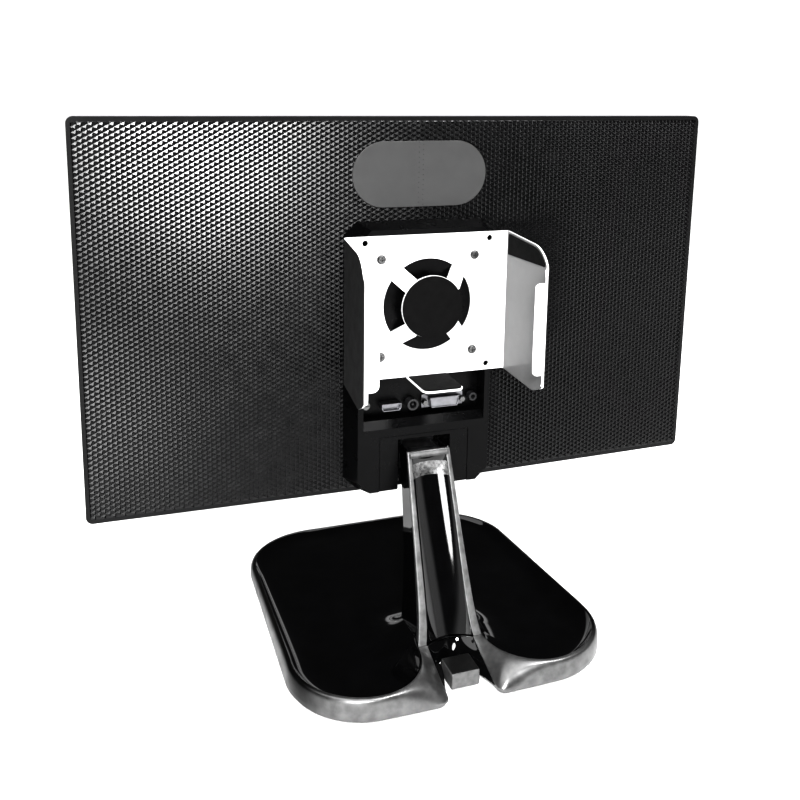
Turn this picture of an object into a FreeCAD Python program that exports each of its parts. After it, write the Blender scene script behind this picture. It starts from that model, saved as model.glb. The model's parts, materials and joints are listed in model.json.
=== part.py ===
"""A desktop monitor on its stand, with an empty sheet-metal cradle for a mini PC on its back.

Frame: +Z up, the screen looks along -Y, the cradle opens along +Y, and the origin is on the
table under the middle of the whole object. Lengths are in millimetres.
"""
import FreeCAD, Part
import math
import os

import Sketcher
from FreeCAD import Placement, Rotation, Vector

os.makedirs("parts", exist_ok=True)
doc = FreeCAD.newDocument("monitor_with_mini_pc_cradle")
sheet = doc.addObject("Spreadsheet::Sheet", "Dims")

DRIVING = {
    # screen body: a flat case whose back rises to a shallow ridge down the middle
    "screen_width": 505, "screen_height": 293, "screen_bottom": 112, "screen_front": -7,
    "edge_depth": 11, "ridge_rise": 5, "corner_round": 5, "case_wall": 2, "bezel_depth": 5,
    "view_width": 476.6, "view_height": 268.1, "chin": 14, "panel_margin": 2, "bezel_lip": 1,
    "relief_border": 3, "relief_skin": 0.8, "badge_radius": 25, "badge_half_straight": 29,
    "badge_height": 362, "badge_rise": 0.4, "badge_seat": 1.8, "cable_slot_half_width": 15,
    "cable_slot_bottom": 300, "cable_slot_top": 312,
    # raised housing on the back, and the port bay in it
    "housing_face": 27.6, "housing_bottom": 117, "housing_top": 323, "face_half_width": 54.5,
    "foot_half_width": 62, "housing_corner": 10, "housing_wall": 2.2,
    "bay_bottom": 174, "bay_top": 208.5, "bay_half_width": 50, "bay_floor": 13, "ledge_drop": 6,
    "lower_cover_half_width": 36.7, "lower_cover_bottom": 118, "lower_cover_top": 161.2,
    "cover_sheet": 1.5, "port_sheet": 1.2, "port_lift": 8.5, "hdmi_place": 25, "dvi_place": -19.5,
    "inlet_place": 7, "jack_place": -44.5, "bay_screw_place": 44, "board_sheet": 1.6, "board_stand": 3,
    # neck slot, hinge and tilt
    "slot_half_width": 21.5, "slot_top": 158, "hinge_depth": 23, "hinge_height": 141,
    "fork_seat_half_width": 14.4, "fork_seat_bottom": 127.2, "fork_seat_top": 155.8, "ear_radius": 6.5,
    "pin_radius": 3, "pin_clearance": 0.05, "barrel_radius": 7, "barrel_half_width": 10.5,
    "washer_gap": 0.3, "washer_thickness": 0.9, "ear_thickness": 2.5,
    # cradle: one bent sheet round the middle of the wall-mount holes
    "mount_height": 264, "plate_half_width": 65, "plate_half_height": 55, "sheet": 1.4,
    "wall_depth": 61, "wall_flare": 3.5, "lip_width": 10, "bend_radius": 1.6,
    "hub_hole_radius": 35.5, "hub_radius": 24, "hub_rise": 9, "arm_width": 13, "pad": 2,
    "shelf_half_width": 16, "shelf_length": 38, "screw_spacing": 75, "outer_spacing": 100,
    "outer_hole_radius": 2.25, "insert_radius": 3.3, "insert_length": 8.3, "lip_bottom": 221,
    "lip_top": 290, "wall_pad_height": 18,
    # neck: a leaning channel, open to the back
    "neck_top": 151, "seam_height": 20, "neck_top_half_width": 17.5, "neck_foot_half_width": 26,
    "neck_top_rear": 37, "neck_foot_rear": 89, "neck_top_front": 14, "neck_foot_front": 48,
    "rim_depth": 3, "neck_wall": 1.6, "trough_depth": 9.5,
    # base: a dished plate with a rim, two rear wings and a notch between them
    "base_half_depth": 136, "base_rear_half_width": 125, "base_front_half_width": 118,
    "base_rear_corner": 57, "base_front_corner": 66, "rim_rear_height": 19, "rim_front_height": 10,
    "rim_width": 5, "rim_round": 2.5, "base_underside": 1.5, "notch_half_width": 18.5,
    "wing_reach": 68, "wing_corner": 6, "dish_floor": 8, "dish_sheet": 2, "dish_round": 14,
    "collar_spread": 17, "foot_radius": 8, "thumb_screw_depth": 62, "thumb_screw_radius": 3,
    "thumb_head_radius": 9, "lock_half_width": 11, "lock_front": 98, "lock_rear": 119, "lock_height": 14,
    # buttons under the lower edge
    "button_width": 11, "button_depth": 3, "button_reach": 1.6, "button_pitch": 17,
    "button_root": 2.4, "first_button": 147.5, "button_gap": 0.35,
}


class Size:
    """A number that remembers the spreadsheet formula it comes from."""

    def __init__(self, number, formula):
        self.number = number
        self.formula = formula

    def join(self, other, sign, number):
        other = as_size(other)
        return Size(number(self.number, other.number), "(%s %s %s)" % (self.formula, sign, other.formula))

    def __add__(self, other):
        return self.join(other, "+", lambda a, b: a + b)

    def __sub__(self, other):
        return self.join(other, "-", lambda a, b: a - b)

    def __mul__(self, other):
        return self.join(other, "*", lambda a, b: a * b)

    def __truediv__(self, other):
        return self.join(other, "/", lambda a, b: a / b)

    def __radd__(self, other):
        return as_size(other) + self

    def __rsub__(self, other):
        return as_size(other) - self

    def __rmul__(self, other):
        return as_size(other) * self

    def __neg__(self):
        return Size(-self.number, "(0 - %s)" % self.formula)

    def __float__(self):
        return float(self.number)


def as_size(value):
    """The value as a Size, whether or not it is one already."""
    return value if isinstance(value, Size) else Size(float(value), "(%g)" % value)


class Dimensions:
    """One attribute for each cell of the sheet."""


dim = Dimensions()
for row, (alias, number) in enumerate(DRIVING.items(), start=1):
    sheet.set("A%d" % row, alias)
    sheet.set("B%d" % row, "%g" % number)
    sheet.setAlias("B%d" % row, alias)
    setattr(dim, alias, Size(float(number), "Dims." + alias))
doc.recompute()

nodes = []


def node(item):
    """Marks a finished piece, which is written to a file of its own."""
    nodes.append(item)
    return item


# ---------------------------------------------------------------- part workbench helpers

def bind_place(item, x, y, z):
    for axis, size in zip("xyz", (x, y, z)):
        item.setExpression(".Placement.Base." + axis, as_size(size).formula)


def box(name, x, y, z):
    """A box from pairs of low and high limits."""
    item = doc.addObject("Part::Box", name)
    for prop, (low, high) in zip(("Length", "Width", "Height"), (x, y, z)):
        item.setExpression(prop, (as_size(high) - low).formula)
    bind_place(item, x[0], y[0], z[0])
    return item


TURN = {"x": Rotation(Vector(0, 1, 0), 90), "y": Rotation(Vector(1, 0, 0), -90), "z": Rotation()}


def cylinder(name, axis, radius, length, start):
    """A cylinder that starts at a point and runs in the positive direction of an axis."""
    item = doc.addObject("Part::Cylinder", name)
    item.setExpression("Radius", as_size(radius).formula)
    item.setExpression("Height", as_size(length).formula)
    item.Placement = Placement(Vector(), TURN[axis])
    bind_place(item, *start)
    return item


def cut(name, base, *tools):
    item = doc.addObject("Part::Cut", name)
    item.Base = base
    item.Tool = tools[0] if len(tools) == 1 else fuse(name + "_tools", *tools)
    return item


def fuse(name, *shapes):
    item = doc.addObject("Part::MultiFuse", name)
    item.Shapes = list(shapes)
    return item


def group(name, *shapes):
    """Separate solids that share one node."""
    item = doc.addObject("Part::Compound", name)
    item.Links = list(shapes)
    return item


def feature(name, shape):
    """A piece whose shape is worked out in code from the sheet's sizes."""
    item = doc.addObject("Part::Feature", name)
    item.Shape = shape
    return item


def face_of(points):
    """A flat face with straight sides."""
    corners = [Vector(*[float(value) for value in point]) for point in points]
    return Part.Face(Part.makePolygon(corners + corners[:1]))


def across(points, x0, x1):
    """A solid with a (y, z) outline that runs from x0 to x1."""
    outline = face_of([(x0, y, z) for y, z in points])
    return outline.extrude(Vector(float(x1) - float(x0), 0, 0))


def upward(points, z0, z1):
    """A solid with an (x, y) outline that runs from z0 to z1."""
    outline = face_of([(x, y, z0) for x, y in points])
    return outline.extrude(Vector(0, 0, float(z1) - float(z0)))


def fillet_where(shape, radius, wanted):
    """Rounds the edges for which wanted(edge) is true."""
    edges = [edge for edge in shape.Edges if wanted(edge)]
    return shape.makeFillet(float(radius), edges)


def runs_along(edge, axis):
    """Whether a straight edge is parallel to an axis, given as 0, 1 or 2."""
    if len(edge.Vertexes) != 2:
        return False
    step = edge.Vertexes[1].Point - edge.Vertexes[0].Point
    return step.Length > 1e-6 and abs(abs(step[axis]) - step.Length) < 1e-6


def block(x, y, z):
    """A plain box shape from pairs of low and high limits."""
    low = Vector(*[float(pair[0]) for pair in (x, y, z)])
    size = [float(pair[1]) - float(pair[0]) for pair in (x, y, z)]
    return Part.makeBox(size[0], size[1], size[2], low)


def rod(radius, start, end):
    """A plain cylinder shape between two points."""
    start = Vector(*[float(value) for value in start])
    end = Vector(*[float(value) for value in end])
    return Part.makeCylinder(float(radius), (end - start).Length, start, end - start)


# ---------------------------------------------------------------- part design helpers

def body(name):
    return doc.addObject("PartDesign::Body", name)


def sketch(owner, name, role, offset=0):
    """An empty sketch on one of the body's own origin planes, moved along the plane's normal."""
    item = owner.newObject("Sketcher::SketchObject", name)
    plane = [face for face in owner.Origin.OriginFeatures if face.Role == role][0]
    item.AttachmentSupport = [(plane, "")]
    item.MapMode = "FlatFace"
    item.setExpression(".AttachmentOffset.Base.z", as_size(offset).formula)
    return item


def fix_point(item, geometry, point, x, y):
    """Holds a point of the sketch at sizes from the sheet."""
    for kind, size in (("DistanceX", as_size(x)), ("DistanceY", as_size(y))):
        index = item.addConstraint(Sketcher.Constraint(kind, -1, 1, geometry, point, size.number))
        item.setExpression("Constraints[%d]" % index, size.formula)


def polygon(item, points):
    """A closed outline of straight lines, each corner held by the sheet."""
    corners = [Vector(float(x), float(y), 0) for x, y in points]
    first = item.GeometryCount
    count = len(corners)
    for index in range(count):
        item.addGeometry(Part.LineSegment(corners[index], corners[(index + 1) % count]), False)
    for index in range(count):
        after = first + (index + 1) % count
        item.addConstraint(Sketcher.Constraint("Coincident", first + index, 2, after, 1))
        fix_point(item, first + index, 1, *points[index])


def rectangle(item, x, y):
    polygon(item, [(x[0], y[0]), (x[1], y[0]), (x[1], y[1]), (x[0], y[1])])


def circle(item, x, y, radius):
    shape = Part.Circle(Vector(float(x), float(y), 0), Vector(0, 0, 1), float(radius))
    index = item.addGeometry(shape, False)
    fix_point(item, index, 3, x, y)
    held = item.addConstraint(Sketcher.Constraint("Radius", index, float(radius)))
    item.setExpression("Constraints[%d]" % held, as_size(radius).formula)


def pad(owner, outline, length, backwards=False):
    item = owner.newObject("PartDesign::Pad", outline.Name + "_pad")
    item.Profile = outline
    item.setExpression("Length", as_size(length).formula)
    item.Reversed = backwards
    return item


def pocket(owner, outline, length, backwards=False):
    """A pocket, with a check that it takes material away."""
    doc.recompute()
    before = owner.Shape.Volume
    item = owner.newObject("PartDesign::Pocket", outline.Name + "_pocket")
    item.Profile = outline
    item.setExpression("Length", as_size(length).formula)
    item.Reversed = backwards
    doc.recompute()
    if not owner.Shape.Volume < before - 1e-3:
        raise ValueError("the pocket on %s cuts nothing" % outline.Name)
    return item


def revolve(owner, outline):
    """A full turn about the sketch's own vertical axis."""
    item = owner.newObject("PartDesign::Revolution", outline.Name + "_turn")
    item.Profile = outline
    item.ReferenceAxis = (outline, ["V_Axis"])
    item.Angle = 360
    return item


def fillet_edges(owner, name, radius, wanted):
    """A fillet on the edges of the body that wanted(edge) picks."""
    doc.recompute()
    tip = owner.Tip
    picked = ["Edge%d" % (index + 1) for index, edge in enumerate(tip.Shape.Edges) if wanted(edge)]
    item = owner.newObject("PartDesign::Fillet", name)
    item.Base = (tip, picked)
    item.setExpression("Radius", as_size(radius).formula)
    return item


# ---------------------------------------------------------------- sizes that several pieces share

half_screen = dim.screen_width / 2
screen_top = dim.screen_bottom + dim.screen_height
edge_rear = dim.screen_front + dim.edge_depth
ridge_rear = edge_rear + dim.ridge_rise
bezel_rear = dim.screen_front + dim.bezel_depth
screw_seat = edge_rear - 2
view_bottom = dim.screen_bottom + dim.chin
view_middle = view_bottom + dim.view_height / 2
plate_rear = dim.housing_face + dim.sheet
hub_face = plate_rear + dim.hub_rise
board_face = ridge_rear + dim.board_stand
port_middle = dim.bay_bottom + dim.port_lift

# how far a cutting block runs past what it cuts, and a height above everything
PAST = 5
FAR = 400


# ---------------------------------------------------------------- screen: front and inner layers

def make_bezel():
    """The frame round the screen, recessed behind for the panel."""
    owner = body("front_bezel")
    outer = sketch(owner, "bezel_outline", "XZ_Plane", -dim.screen_front)
    rectangle(outer, (-half_screen, half_screen), (dim.screen_bottom, screen_top))
    pad(owner, outer, dim.bezel_depth, backwards=True)
    window = sketch(owner, "bezel_window", "XZ_Plane", -dim.screen_front)
    half_view = dim.view_width / 2
    rectangle(window, (-half_view, half_view), (view_bottom, view_bottom + dim.view_height))
    pocket(owner, window, dim.bezel_depth)
    recess = sketch(owner, "bezel_recess", "XZ_Plane", -bezel_rear)
    reach = half_view + dim.panel_margin
    rectangle(recess, (-reach, reach), (view_bottom - dim.panel_margin,
                                        view_bottom + dim.view_height + dim.panel_margin))
    pocket(owner, recess, dim.bezel_depth - dim.bezel_lip, backwards=True)
    lens_seat = sketch(owner, "lens_seat", "XZ_Plane", -dim.screen_front)
    rectangle(lens_seat, *lens_span(0.1))
    pocket(owner, lens_seat, 1.1)
    wells = sketch(owner, "button_wells", "XY_Plane", dim.screen_bottom)
    for x in button_places():
        reach = dim.button_width / 2 + dim.button_gap
        rectangle(wells, (x - reach, x + reach), button_span(dim.button_gap))
    pocket(owner, wells, 4.5, backwards=True)
    fillet_edges(owner, "bezel_corners", dim.corner_round, at_case_corner)
    return node(owner)


def at_case_corner(edge):
    """The four outer corner edges of the screen's case."""
    point = edge.CenterOfMass
    outer = abs(abs(point.x) - float(half_screen)) < 0.01
    low = abs(point.z - float(dim.screen_bottom)) < 0.01
    high = abs(point.z - float(screen_top)) < 0.01
    return outer and (low or high) and runs_along(edge, 1)


def button_places():
    """Middle of each button along the lower edge, the power button last."""
    return [dim.first_button + dim.button_pitch * index for index in range(5)]


def lens_span(gap):
    """Limits of the lamp's lens in x and z, widened by a gap."""
    return ((half_screen - 18 - gap, half_screen - 12 + gap),
            (dim.screen_bottom + 5 - gap, dim.screen_bottom + 7 + gap))


def button_span(gap):
    """Front and rear limits of a button well, widened by a gap."""
    middle = dim.screen_front + dim.bezel_depth / 2
    reach = dim.button_depth / 2 + gap
    return (middle - reach, middle + reach)


def make_layers():
    """The glass panel, the backlight and the tray behind them."""
    reach = dim.view_width / 2 + dim.panel_margin - 0.3
    low = view_bottom - dim.panel_margin + 0.3
    high = view_bottom + dim.view_height + dim.panel_margin - 0.3
    glass_front = dim.screen_front + dim.bezel_lip
    node(box("lcd_panel", (-reach, reach), (glass_front, glass_front + 1.8), (low, high)))
    light = box("backlight_stack", (-reach, reach), (glass_front + 1.9, glass_front + 6), (low, high))
    node(cut("backlight_unit", light, box("driver_notch", (-60, 60), (glass_front + 4.4, glass_front + 7),
                                          (low - 1, low + 9))))
    owner = body("panel_chassis")
    tray = sketch(owner, "tray_outline", "XZ_Plane", -(glass_front + 6.1))
    rectangle(tray, (-reach + 5, reach - 5), (low + 5, high - 5))
    pad(owner, tray, 0.8, backwards=True)
    vents = sketch(owner, "tray_vents", "XZ_Plane", -(glass_front + 6.1))
    for side in (-1, 1):
        for level in (-1, 1):
            middle = 160 * side
            height = view_middle + 70 * level
            rectangle(vents, (middle - 30, middle + 30), (height - 8, height + 8))
    pocket(owner, vents, 0.8)
    return node(owner)


# ---------------------------------------------------------------- screen: back shell

def ridge_solid(inset, front, depth):
    """A ridged slab: the case's back shape, drawn in by an inset and stopping depth under its surface."""
    reach = float(half_screen - inset)
    edge = float(edge_rear) - depth
    slope = float(dim.ridge_rise) / float(half_screen)
    outline = [(-reach, front), (reach, front), (reach, edge + slope * float(inset)),
               (0, float(ridge_rear) - depth), (-reach, edge + slope * float(inset))]
    shape = upward(outline, dim.screen_bottom + inset, screen_top - inset)
    if float(inset) < float(dim.corner_round):
        shape = fillet_where(shape, dim.corner_round - inset, lambda edge: is_outer_corner(edge, reach))
    return shape


def is_outer_corner(edge, reach):
    point = edge.CenterOfMass
    return abs(abs(point.x) - reach) < 0.01 and runs_along(edge, 1)


def housing_outline(grow, y):
    """The housing's outline at depth y: square with cut corners, grown towards its foot."""
    reach = float(dim.face_half_width) + grow
    low = float(dim.housing_bottom) - grow * 0.4
    high = float(dim.housing_top) + grow * 0.7
    corner = float(dim.housing_corner)
    half = [(reach - corner, low), (reach, low + corner), (reach, high - corner), (reach - corner, high)]
    full = half + [(-x, z) for x, z in reversed(half)]
    points = [Vector(x, y, z) for x, z in full]
    return Part.makePolygon(points + points[:1])


def housing_solid(inset):
    """The drafted block of the housing, drawn in by an inset on its sides and face."""
    face = float(dim.housing_face) - inset
    grow = float(dim.foot_half_width - dim.face_half_width)
    wires = [housing_outline(grow - inset, 3.0), housing_outline(-inset, face)]
    return Part.makeLoft(wires, True, True)


def badge_outline(inset, y0, y1):
    """A capsule across the ridge, between two depths."""
    radius = float(dim.badge_radius) - inset
    straight = float(dim.badge_half_straight)
    middle = float(dim.badge_height)
    ends = [rod(radius, (x, y0, middle), (x, y1, middle)) for x in (-straight, straight)]
    shape = block((-straight, straight), (y0, y1), (middle - radius, middle + radius))
    return shape.fuse(ends).removeSplitter()


def make_back_shell():
    """The back cover, the relief inlay laid in it and the plain capsule plate."""
    wall = float(dim.case_wall)
    border = float(dim.relief_border)
    front = float(bezel_rear)
    skin = ridge_solid(border, front - 1, 0).cut(ridge_solid(border, front - 2, float(dim.relief_skin)))
    badge = badge_outline(0, float(ridge_rear - dim.badge_seat), float(ridge_rear + dim.badge_rise))
    shell = ridge_solid(0, front, 0).cut(ridge_solid(wall, front - 1, wall)).cut(skin).cut(badge)
    slot = dim.cable_slot_half_width
    slot_heights = (dim.cable_slot_bottom, dim.cable_slot_top)
    shell = shell.cut(block((-slot, slot), (0, ridge_rear + PAST), slot_heights))
    shell = shell.cut(fork_seat_block(0.1, ridge_rear - 1, ridge_rear + PAST))
    well_reach = dim.button_width / 2 + 0.7
    well_top = dim.screen_bottom + 6
    shell = shell.cut([block((x - well_reach, x + well_reach), (dim.screen_front - 1, front + 0.4),
                             (dim.screen_bottom - PAST, well_top)) for x in button_places()])
    places = cover_screw_places()
    shell = shell.fuse([rod(3, (x, bezel_rear, z), (x, screw_seat + 0.2, z)) for x, z in places])
    shell = shell.cut([rod(1.3, (x, front - PAST, z), (x, ridge_rear, z)) for x, z in places])
    heads = [rod(2.6, (x, screw_seat, z), (x, ridge_rear + PAST, z)) for x, z in places]
    shell = shell.cut(heads)
    node(feature("rear_cover", shell.removeSplitter()))
    node(feature("rear_relief_panel", skin.cut(housing_solid(0)).cut(badge).cut(heads)))
    plate = fillet_where(badge, 0.4, lambda edge: edge.CenterOfMass.y > float(ridge_rear))
    node(feature("badge_plate", plate))
    screws = [cover_screw(index, x, z) for index, (x, z) in enumerate(places, start=1)]
    node(group("rear_cover_screws", *screws))


def fork_seat_block(gap, front, rear):
    """The block that the hinge fork stands on, widened by a gap, between two depths."""
    reach = dim.fork_seat_half_width + gap
    heights = (dim.fork_seat_bottom - 2 * gap, dim.fork_seat_top + 2 * gap)
    return block((-reach, reach), (front, rear), heights)


def cover_screw_places():
    """Screws close to the lower and upper corners of the back."""
    side = float(half_screen) - 9
    low = float(dim.screen_bottom) + 7
    high = float(screen_top) - 7
    return [(side, low), (-side, low), (side, high), (-side, high)]


def cover_screw(index, x, z):
    """A round-headed screw, sunk in the back cover."""
    head = cylinder("cover_screw_head_%d" % index, "y", 2.5, 1.4, (x, screw_seat + 0.1, z))
    shank = cylinder("cover_screw_shank_%d" % index, "y", 1.25, 4, (x, screw_seat - 3.9, z))
    return fuse("cover_screw_%d" % index, head, shank)


# ---------------------------------------------------------------- housing, port bay and boards

def make_housing():
    """The raised housing: hollow, with a port bay, screw bosses and the slot for the neck."""
    wall = float(dim.housing_wall)
    face = float(dim.housing_face)
    bay = float(dim.bay_half_width)
    floor = float(dim.bay_floor)
    low = float(dim.bay_bottom)
    bay_top = float(dim.bay_top)
    slot = float(dim.slot_half_width)
    drop = float(dim.ledge_drop)
    wide = float(dim.foot_half_width) + PAST

    shape = housing_solid(0)
    above_bay = block((-wide, wide), (0, face + PAST), (bay_top + wall, FAR))
    shape = shape.cut(housing_solid(wall).common(above_bay))
    for side in (-1, 1):
        room = sorted((side * (slot + wall), side * (bay - 1)))
        shape = shape.cut(block(room, (0, face - wall), (dim.housing_bottom + 4, dim.slot_top + 7)))
    bay_outline = [(floor, low), (face - 5, low), (face, low - drop), (face + PAST, low - drop),
                   (face + PAST, bay_top), (floor, bay_top)]
    shape = shape.cut(across(bay_outline, -bay, bay))
    plate_back = floor - float(dim.port_sheet)
    plate_room = block((-bay - 0.5, bay + 0.5), (plate_back, floor), (low - 1, bay_top + 1))
    shape = shape.cut(plate_room)
    shape = shape.cut(block((4 - bay, bay - 4), (0, floor), (low + 3, bay_top - 1)))
    shape = shape.cut(block((-slot, slot), (0, face + PAST), (dim.housing_bottom - PAST, dim.slot_top)))
    seat = dim.lower_cover_half_width + 0.3
    shape = shape.cut(block((-seat, seat), (face - float(dim.cover_sheet), face + PAST),
                            (dim.housing_bottom - PAST, dim.lower_cover_top + 0.3)))
    inner_places = mount_places(dim.screw_spacing)
    outer_places = mount_places(dim.outer_spacing)
    bosses = [rod(4.5, (x, face - 11.6, z), (x, face - 1, z)) for x, z in inner_places]
    bosses += [rod(5, (x, face - 13.6, z), (x, face - 1, z)) for x, z in outer_places]
    shape = shape.fuse(bosses)
    insert_seat = dim.housing_face - dim.insert_length - 0.3
    holes = [rod(1.95, (x, face - 15.6, z), (x, face + PAST, z)) for x, z in inner_places]
    holes += [rod(dim.insert_radius, (x, insert_seat, z), (x, face + PAST, z)) for x, z in outer_places]
    shape = shape.cut(holes).cut(ridge_solid(0, -10, 0))
    node(feature("console_housing", shape.removeSplitter()))


def mount_places(spacing):
    """Corners of a square hole pattern about the middle of the cradle."""
    reach = float(spacing) / 2
    middle = float(dim.mount_height)
    high = middle + reach
    low = middle - reach
    return [(reach, high), (-reach, high), (-reach, low), (reach, low)]


def make_lower_cover():
    """The inset cover round the neck slot."""
    face = dim.housing_face
    reach = dim.lower_cover_half_width
    slot = dim.slot_half_width
    plate = box("lower_cover_plate", (-reach, reach), (face - dim.cover_sheet, face - 0.2),
                (dim.lower_cover_bottom, dim.lower_cover_top))
    room = box("lower_cover_slot", (-slot, slot), (face - PAST, face + PAST),
               (dim.lower_cover_bottom - PAST, dim.slot_top))
    node(cut("console_lower_cover", plate, room))


def chamfered(middle, half, low, high, cut_in, lift):
    """A port's outline in (x, z): flat on top, with its two lower corners cut off."""
    return [(middle - half + cut_in, low), (middle + half - cut_in, low), (middle + half, low + lift),
            (middle + half, high), (middle - half, high), (middle - half, low + lift)]


def make_ports():
    """The metal plate of the port bay with the connectors that stand on it."""
    owner = body("port_plate")
    outline = sketch(owner, "port_plate_outline", "XZ_Plane", -(dim.bay_floor - dim.port_sheet))
    rectangle(outline, (-dim.bay_half_width, dim.bay_half_width), (dim.bay_bottom, dim.bay_top))
    pad(owner, outline, dim.port_sheet, backwards=True)
    node(owner)
    make_hdmi()
    make_dvi()
    make_round_ports()
    make_bay_fixings()


def make_hdmi():
    """A small flat port whose lower corners are cut off, with an open mouth."""
    length = 8
    shell = 0.7
    place = dim.hdmi_place
    owner = body("hdmi_port")
    outline = sketch(owner, "hdmi_outline", "XZ_Plane", -dim.bay_floor)
    polygon(outline, chamfered(place, 8, port_middle - 3, port_middle + 3, 1.5, 2))
    pad(owner, outline, length, backwards=True)
    mouth = sketch(owner, "hdmi_mouth", "XZ_Plane", -(dim.bay_floor + length))
    polygon(mouth, chamfered(place, 8 - shell, port_middle - 3 + shell, port_middle + 3 - shell, 1.2, 1.6))
    pocket(owner, mouth, 3, backwards=True)
    node(owner)


def make_dvi():
    """A wide port on a flange, its shell narrower below than above, with a shallow mouth."""
    flange = 1.5
    length = 6
    shell = 0.7
    place = dim.dvi_place
    owner = body("dvi_port")
    outline = sketch(owner, "dvi_flange", "XZ_Plane", -dim.bay_floor)
    rectangle(outline, (place - 17.5, place + 17.5), (port_middle - 5.5, port_middle + 5.5))
    pad(owner, outline, flange, backwards=True)

    def tapered(inset):
        low_reach = 11 - inset
        high_reach = 12.5 - 0.85 * inset
        height = 4.2 - inset
        return [(place - low_reach, port_middle - height), (place + low_reach, port_middle - height),
                (place + high_reach, port_middle + height), (place - high_reach, port_middle + height)]

    rim = sketch(owner, "dvi_shell", "XZ_Plane", -(dim.bay_floor + flange))
    polygon(rim, tapered(0))
    pad(owner, rim, length, backwards=True)
    mouth = sketch(owner, "dvi_mouth", "XZ_Plane", -(dim.bay_floor + flange + length))
    polygon(mouth, tapered(shell))
    pocket(owner, mouth, 0.8, backwards=True)
    node(owner)


def make_round_ports():
    """The power inlet with its pin, and the audio jack."""
    floor = dim.bay_floor
    inlet = cylinder("inlet_barrel", "y", 4.6, 7, (dim.inlet_place, floor, port_middle))
    inlet_bore = cylinder("inlet_bore", "y", 2.9, 9, (dim.inlet_place, floor + 1, port_middle))
    inlet_pin = cylinder("inlet_pin", "y", 0.9, 5, (dim.inlet_place, floor + 1, port_middle))
    node(group("power_inlet", cut("inlet_shell", inlet, inlet_bore), inlet_pin))
    jack = cylinder("jack_barrel", "y", 3.4, 6, (dim.jack_place, floor, port_middle + 1))
    jack_bore = cylinder("jack_bore", "y", 1.8, 8, (dim.jack_place, floor + 0.8, port_middle + 1))
    node(cut("audio_jack", jack, jack_bore))


def make_bay_fixings():
    """The hexagonal posts beside the wide port and the screw that holds the plate."""
    floor = float(dim.bay_floor)
    middle = float(port_middle)
    posts = []
    for index, side in enumerate((-1, 1), start=1):
        x = float(dim.dvi_place) + side * 15.7
        shape = Part.Face(Part.makePolygon(hexagon(x, middle, 2.3, floor + 1.5)))
        posts.append(feature("hex_post_%d" % index, shape.extrude(Vector(0, 5, 0))))
    place = dim.bay_screw_place
    head = cylinder("bay_screw_head", "y", 3.2, 2.2, (place, floor, middle + 1))
    groove = box("bay_screw_slot", (place - 3, place + 3), (floor + 1.4, floor + 3),
                 (middle + 0.6, middle + 1.4))
    posts.append(cut("bay_screw", head, groove))
    node(group("port_posts", *posts))


def hexagon(x, z, radius, y):
    """Corner points of a closed hexagon about (x, z), at depth y."""
    turns = [math.radians(60 * index) for index in range(7)]
    return [Vector(x + radius * math.cos(turn), y, z + radius * math.sin(turn)) for turn in turns]


def make_boards():
    """The scaler board in the upper room and the power board beside the neck slot."""
    owner = body("main_board")
    outline = sketch(owner, "main_board_outline", "XZ_Plane", -board_face)
    rectangle(outline, (-40, 40), (dim.bay_top + 6, dim.housing_top - 12))
    pad(owner, outline, dim.board_sheet, backwards=True)
    chips = sketch(owner, "main_board_chips", "XZ_Plane", -(board_face + dim.board_sheet))
    for x, rise, reach in ((0, 4, 11), (-20, 21, 6), (22, -18, 7), (-19, -20, 6), (20, 23, 5)):
        z = dim.mount_height + rise
        rectangle(chips, (x - reach, x + reach), (z - reach, z + reach))
    pad(owner, chips, 1.4, backwards=True)
    standoffs = sketch(owner, "main_board_standoffs", "XZ_Plane", -board_face)
    for x in (-36, 36):
        for z in (dim.bay_top + 13.5, dim.housing_top - 19):
            circle(standoffs, x, z, 2.5)
    pad(owner, standoffs, dim.board_stand - 0.2)
    node(owner)

    owner = body("power_board")
    low = dim.housing_bottom + 7
    high = dim.slot_top + 4
    inner = dim.slot_half_width + 4.5
    outer = dim.bay_half_width - 3
    outline = sketch(owner, "power_board_outline", "XZ_Plane", -board_face)
    rectangle(outline, (inner, outer), (low, high))
    pad(owner, outline, dim.board_sheet, backwards=True)
    parts = sketch(owner, "power_board_parts", "XZ_Plane", -(board_face + dim.board_sheet))
    rectangle(parts, (inner + 3, outer - 3), (low + 4, low + 18))
    circle(parts, inner + 10, high - 10, 5)
    pad(owner, parts, 8, backwards=True)
    legs = sketch(owner, "power_board_legs", "XZ_Plane", -board_face)
    rectangle(legs, (inner + 2, outer - 1), (high - 4, high - 1))
    pad(owner, legs, dim.board_stand + 0.2)
    node(owner)


# ---------------------------------------------------------------- buttons and lamp

def make_buttons():
    """Five buttons that are pressed upwards, and the lamp beside them."""
    front, rear = button_span(0)
    names = ["menu_button_%d" % index for index in range(1, 5)] + ["power_button"]
    for name, x in zip(names, button_places()):
        owner = body(name)
        outline = sketch(owner, name + "_outline", "XY_Plane", dim.screen_bottom - dim.button_reach)
        rectangle(outline, (x - dim.button_width / 2, x + dim.button_width / 2), (front, rear))
        pad(owner, outline, dim.button_reach + dim.button_root)
        fillet_edges(owner, name + "_round", 0.5, is_button_edge)
        node(owner)
    owner = body("power_led_lens")
    outline = sketch(owner, "lens_outline", "XZ_Plane", -(dim.screen_front - 0.2))
    rectangle(outline, *lens_span(0))
    pad(owner, outline, 1.2, backwards=True)
    node(owner)


def is_button_edge(edge):
    """The upright corner edges of a button and the edges of its pressed face."""
    low = float(dim.screen_bottom - dim.button_reach)
    return runs_along(edge, 2) or abs(edge.CenterOfMass.z - low) < 0.01


# ---------------------------------------------------------------- cradle

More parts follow.
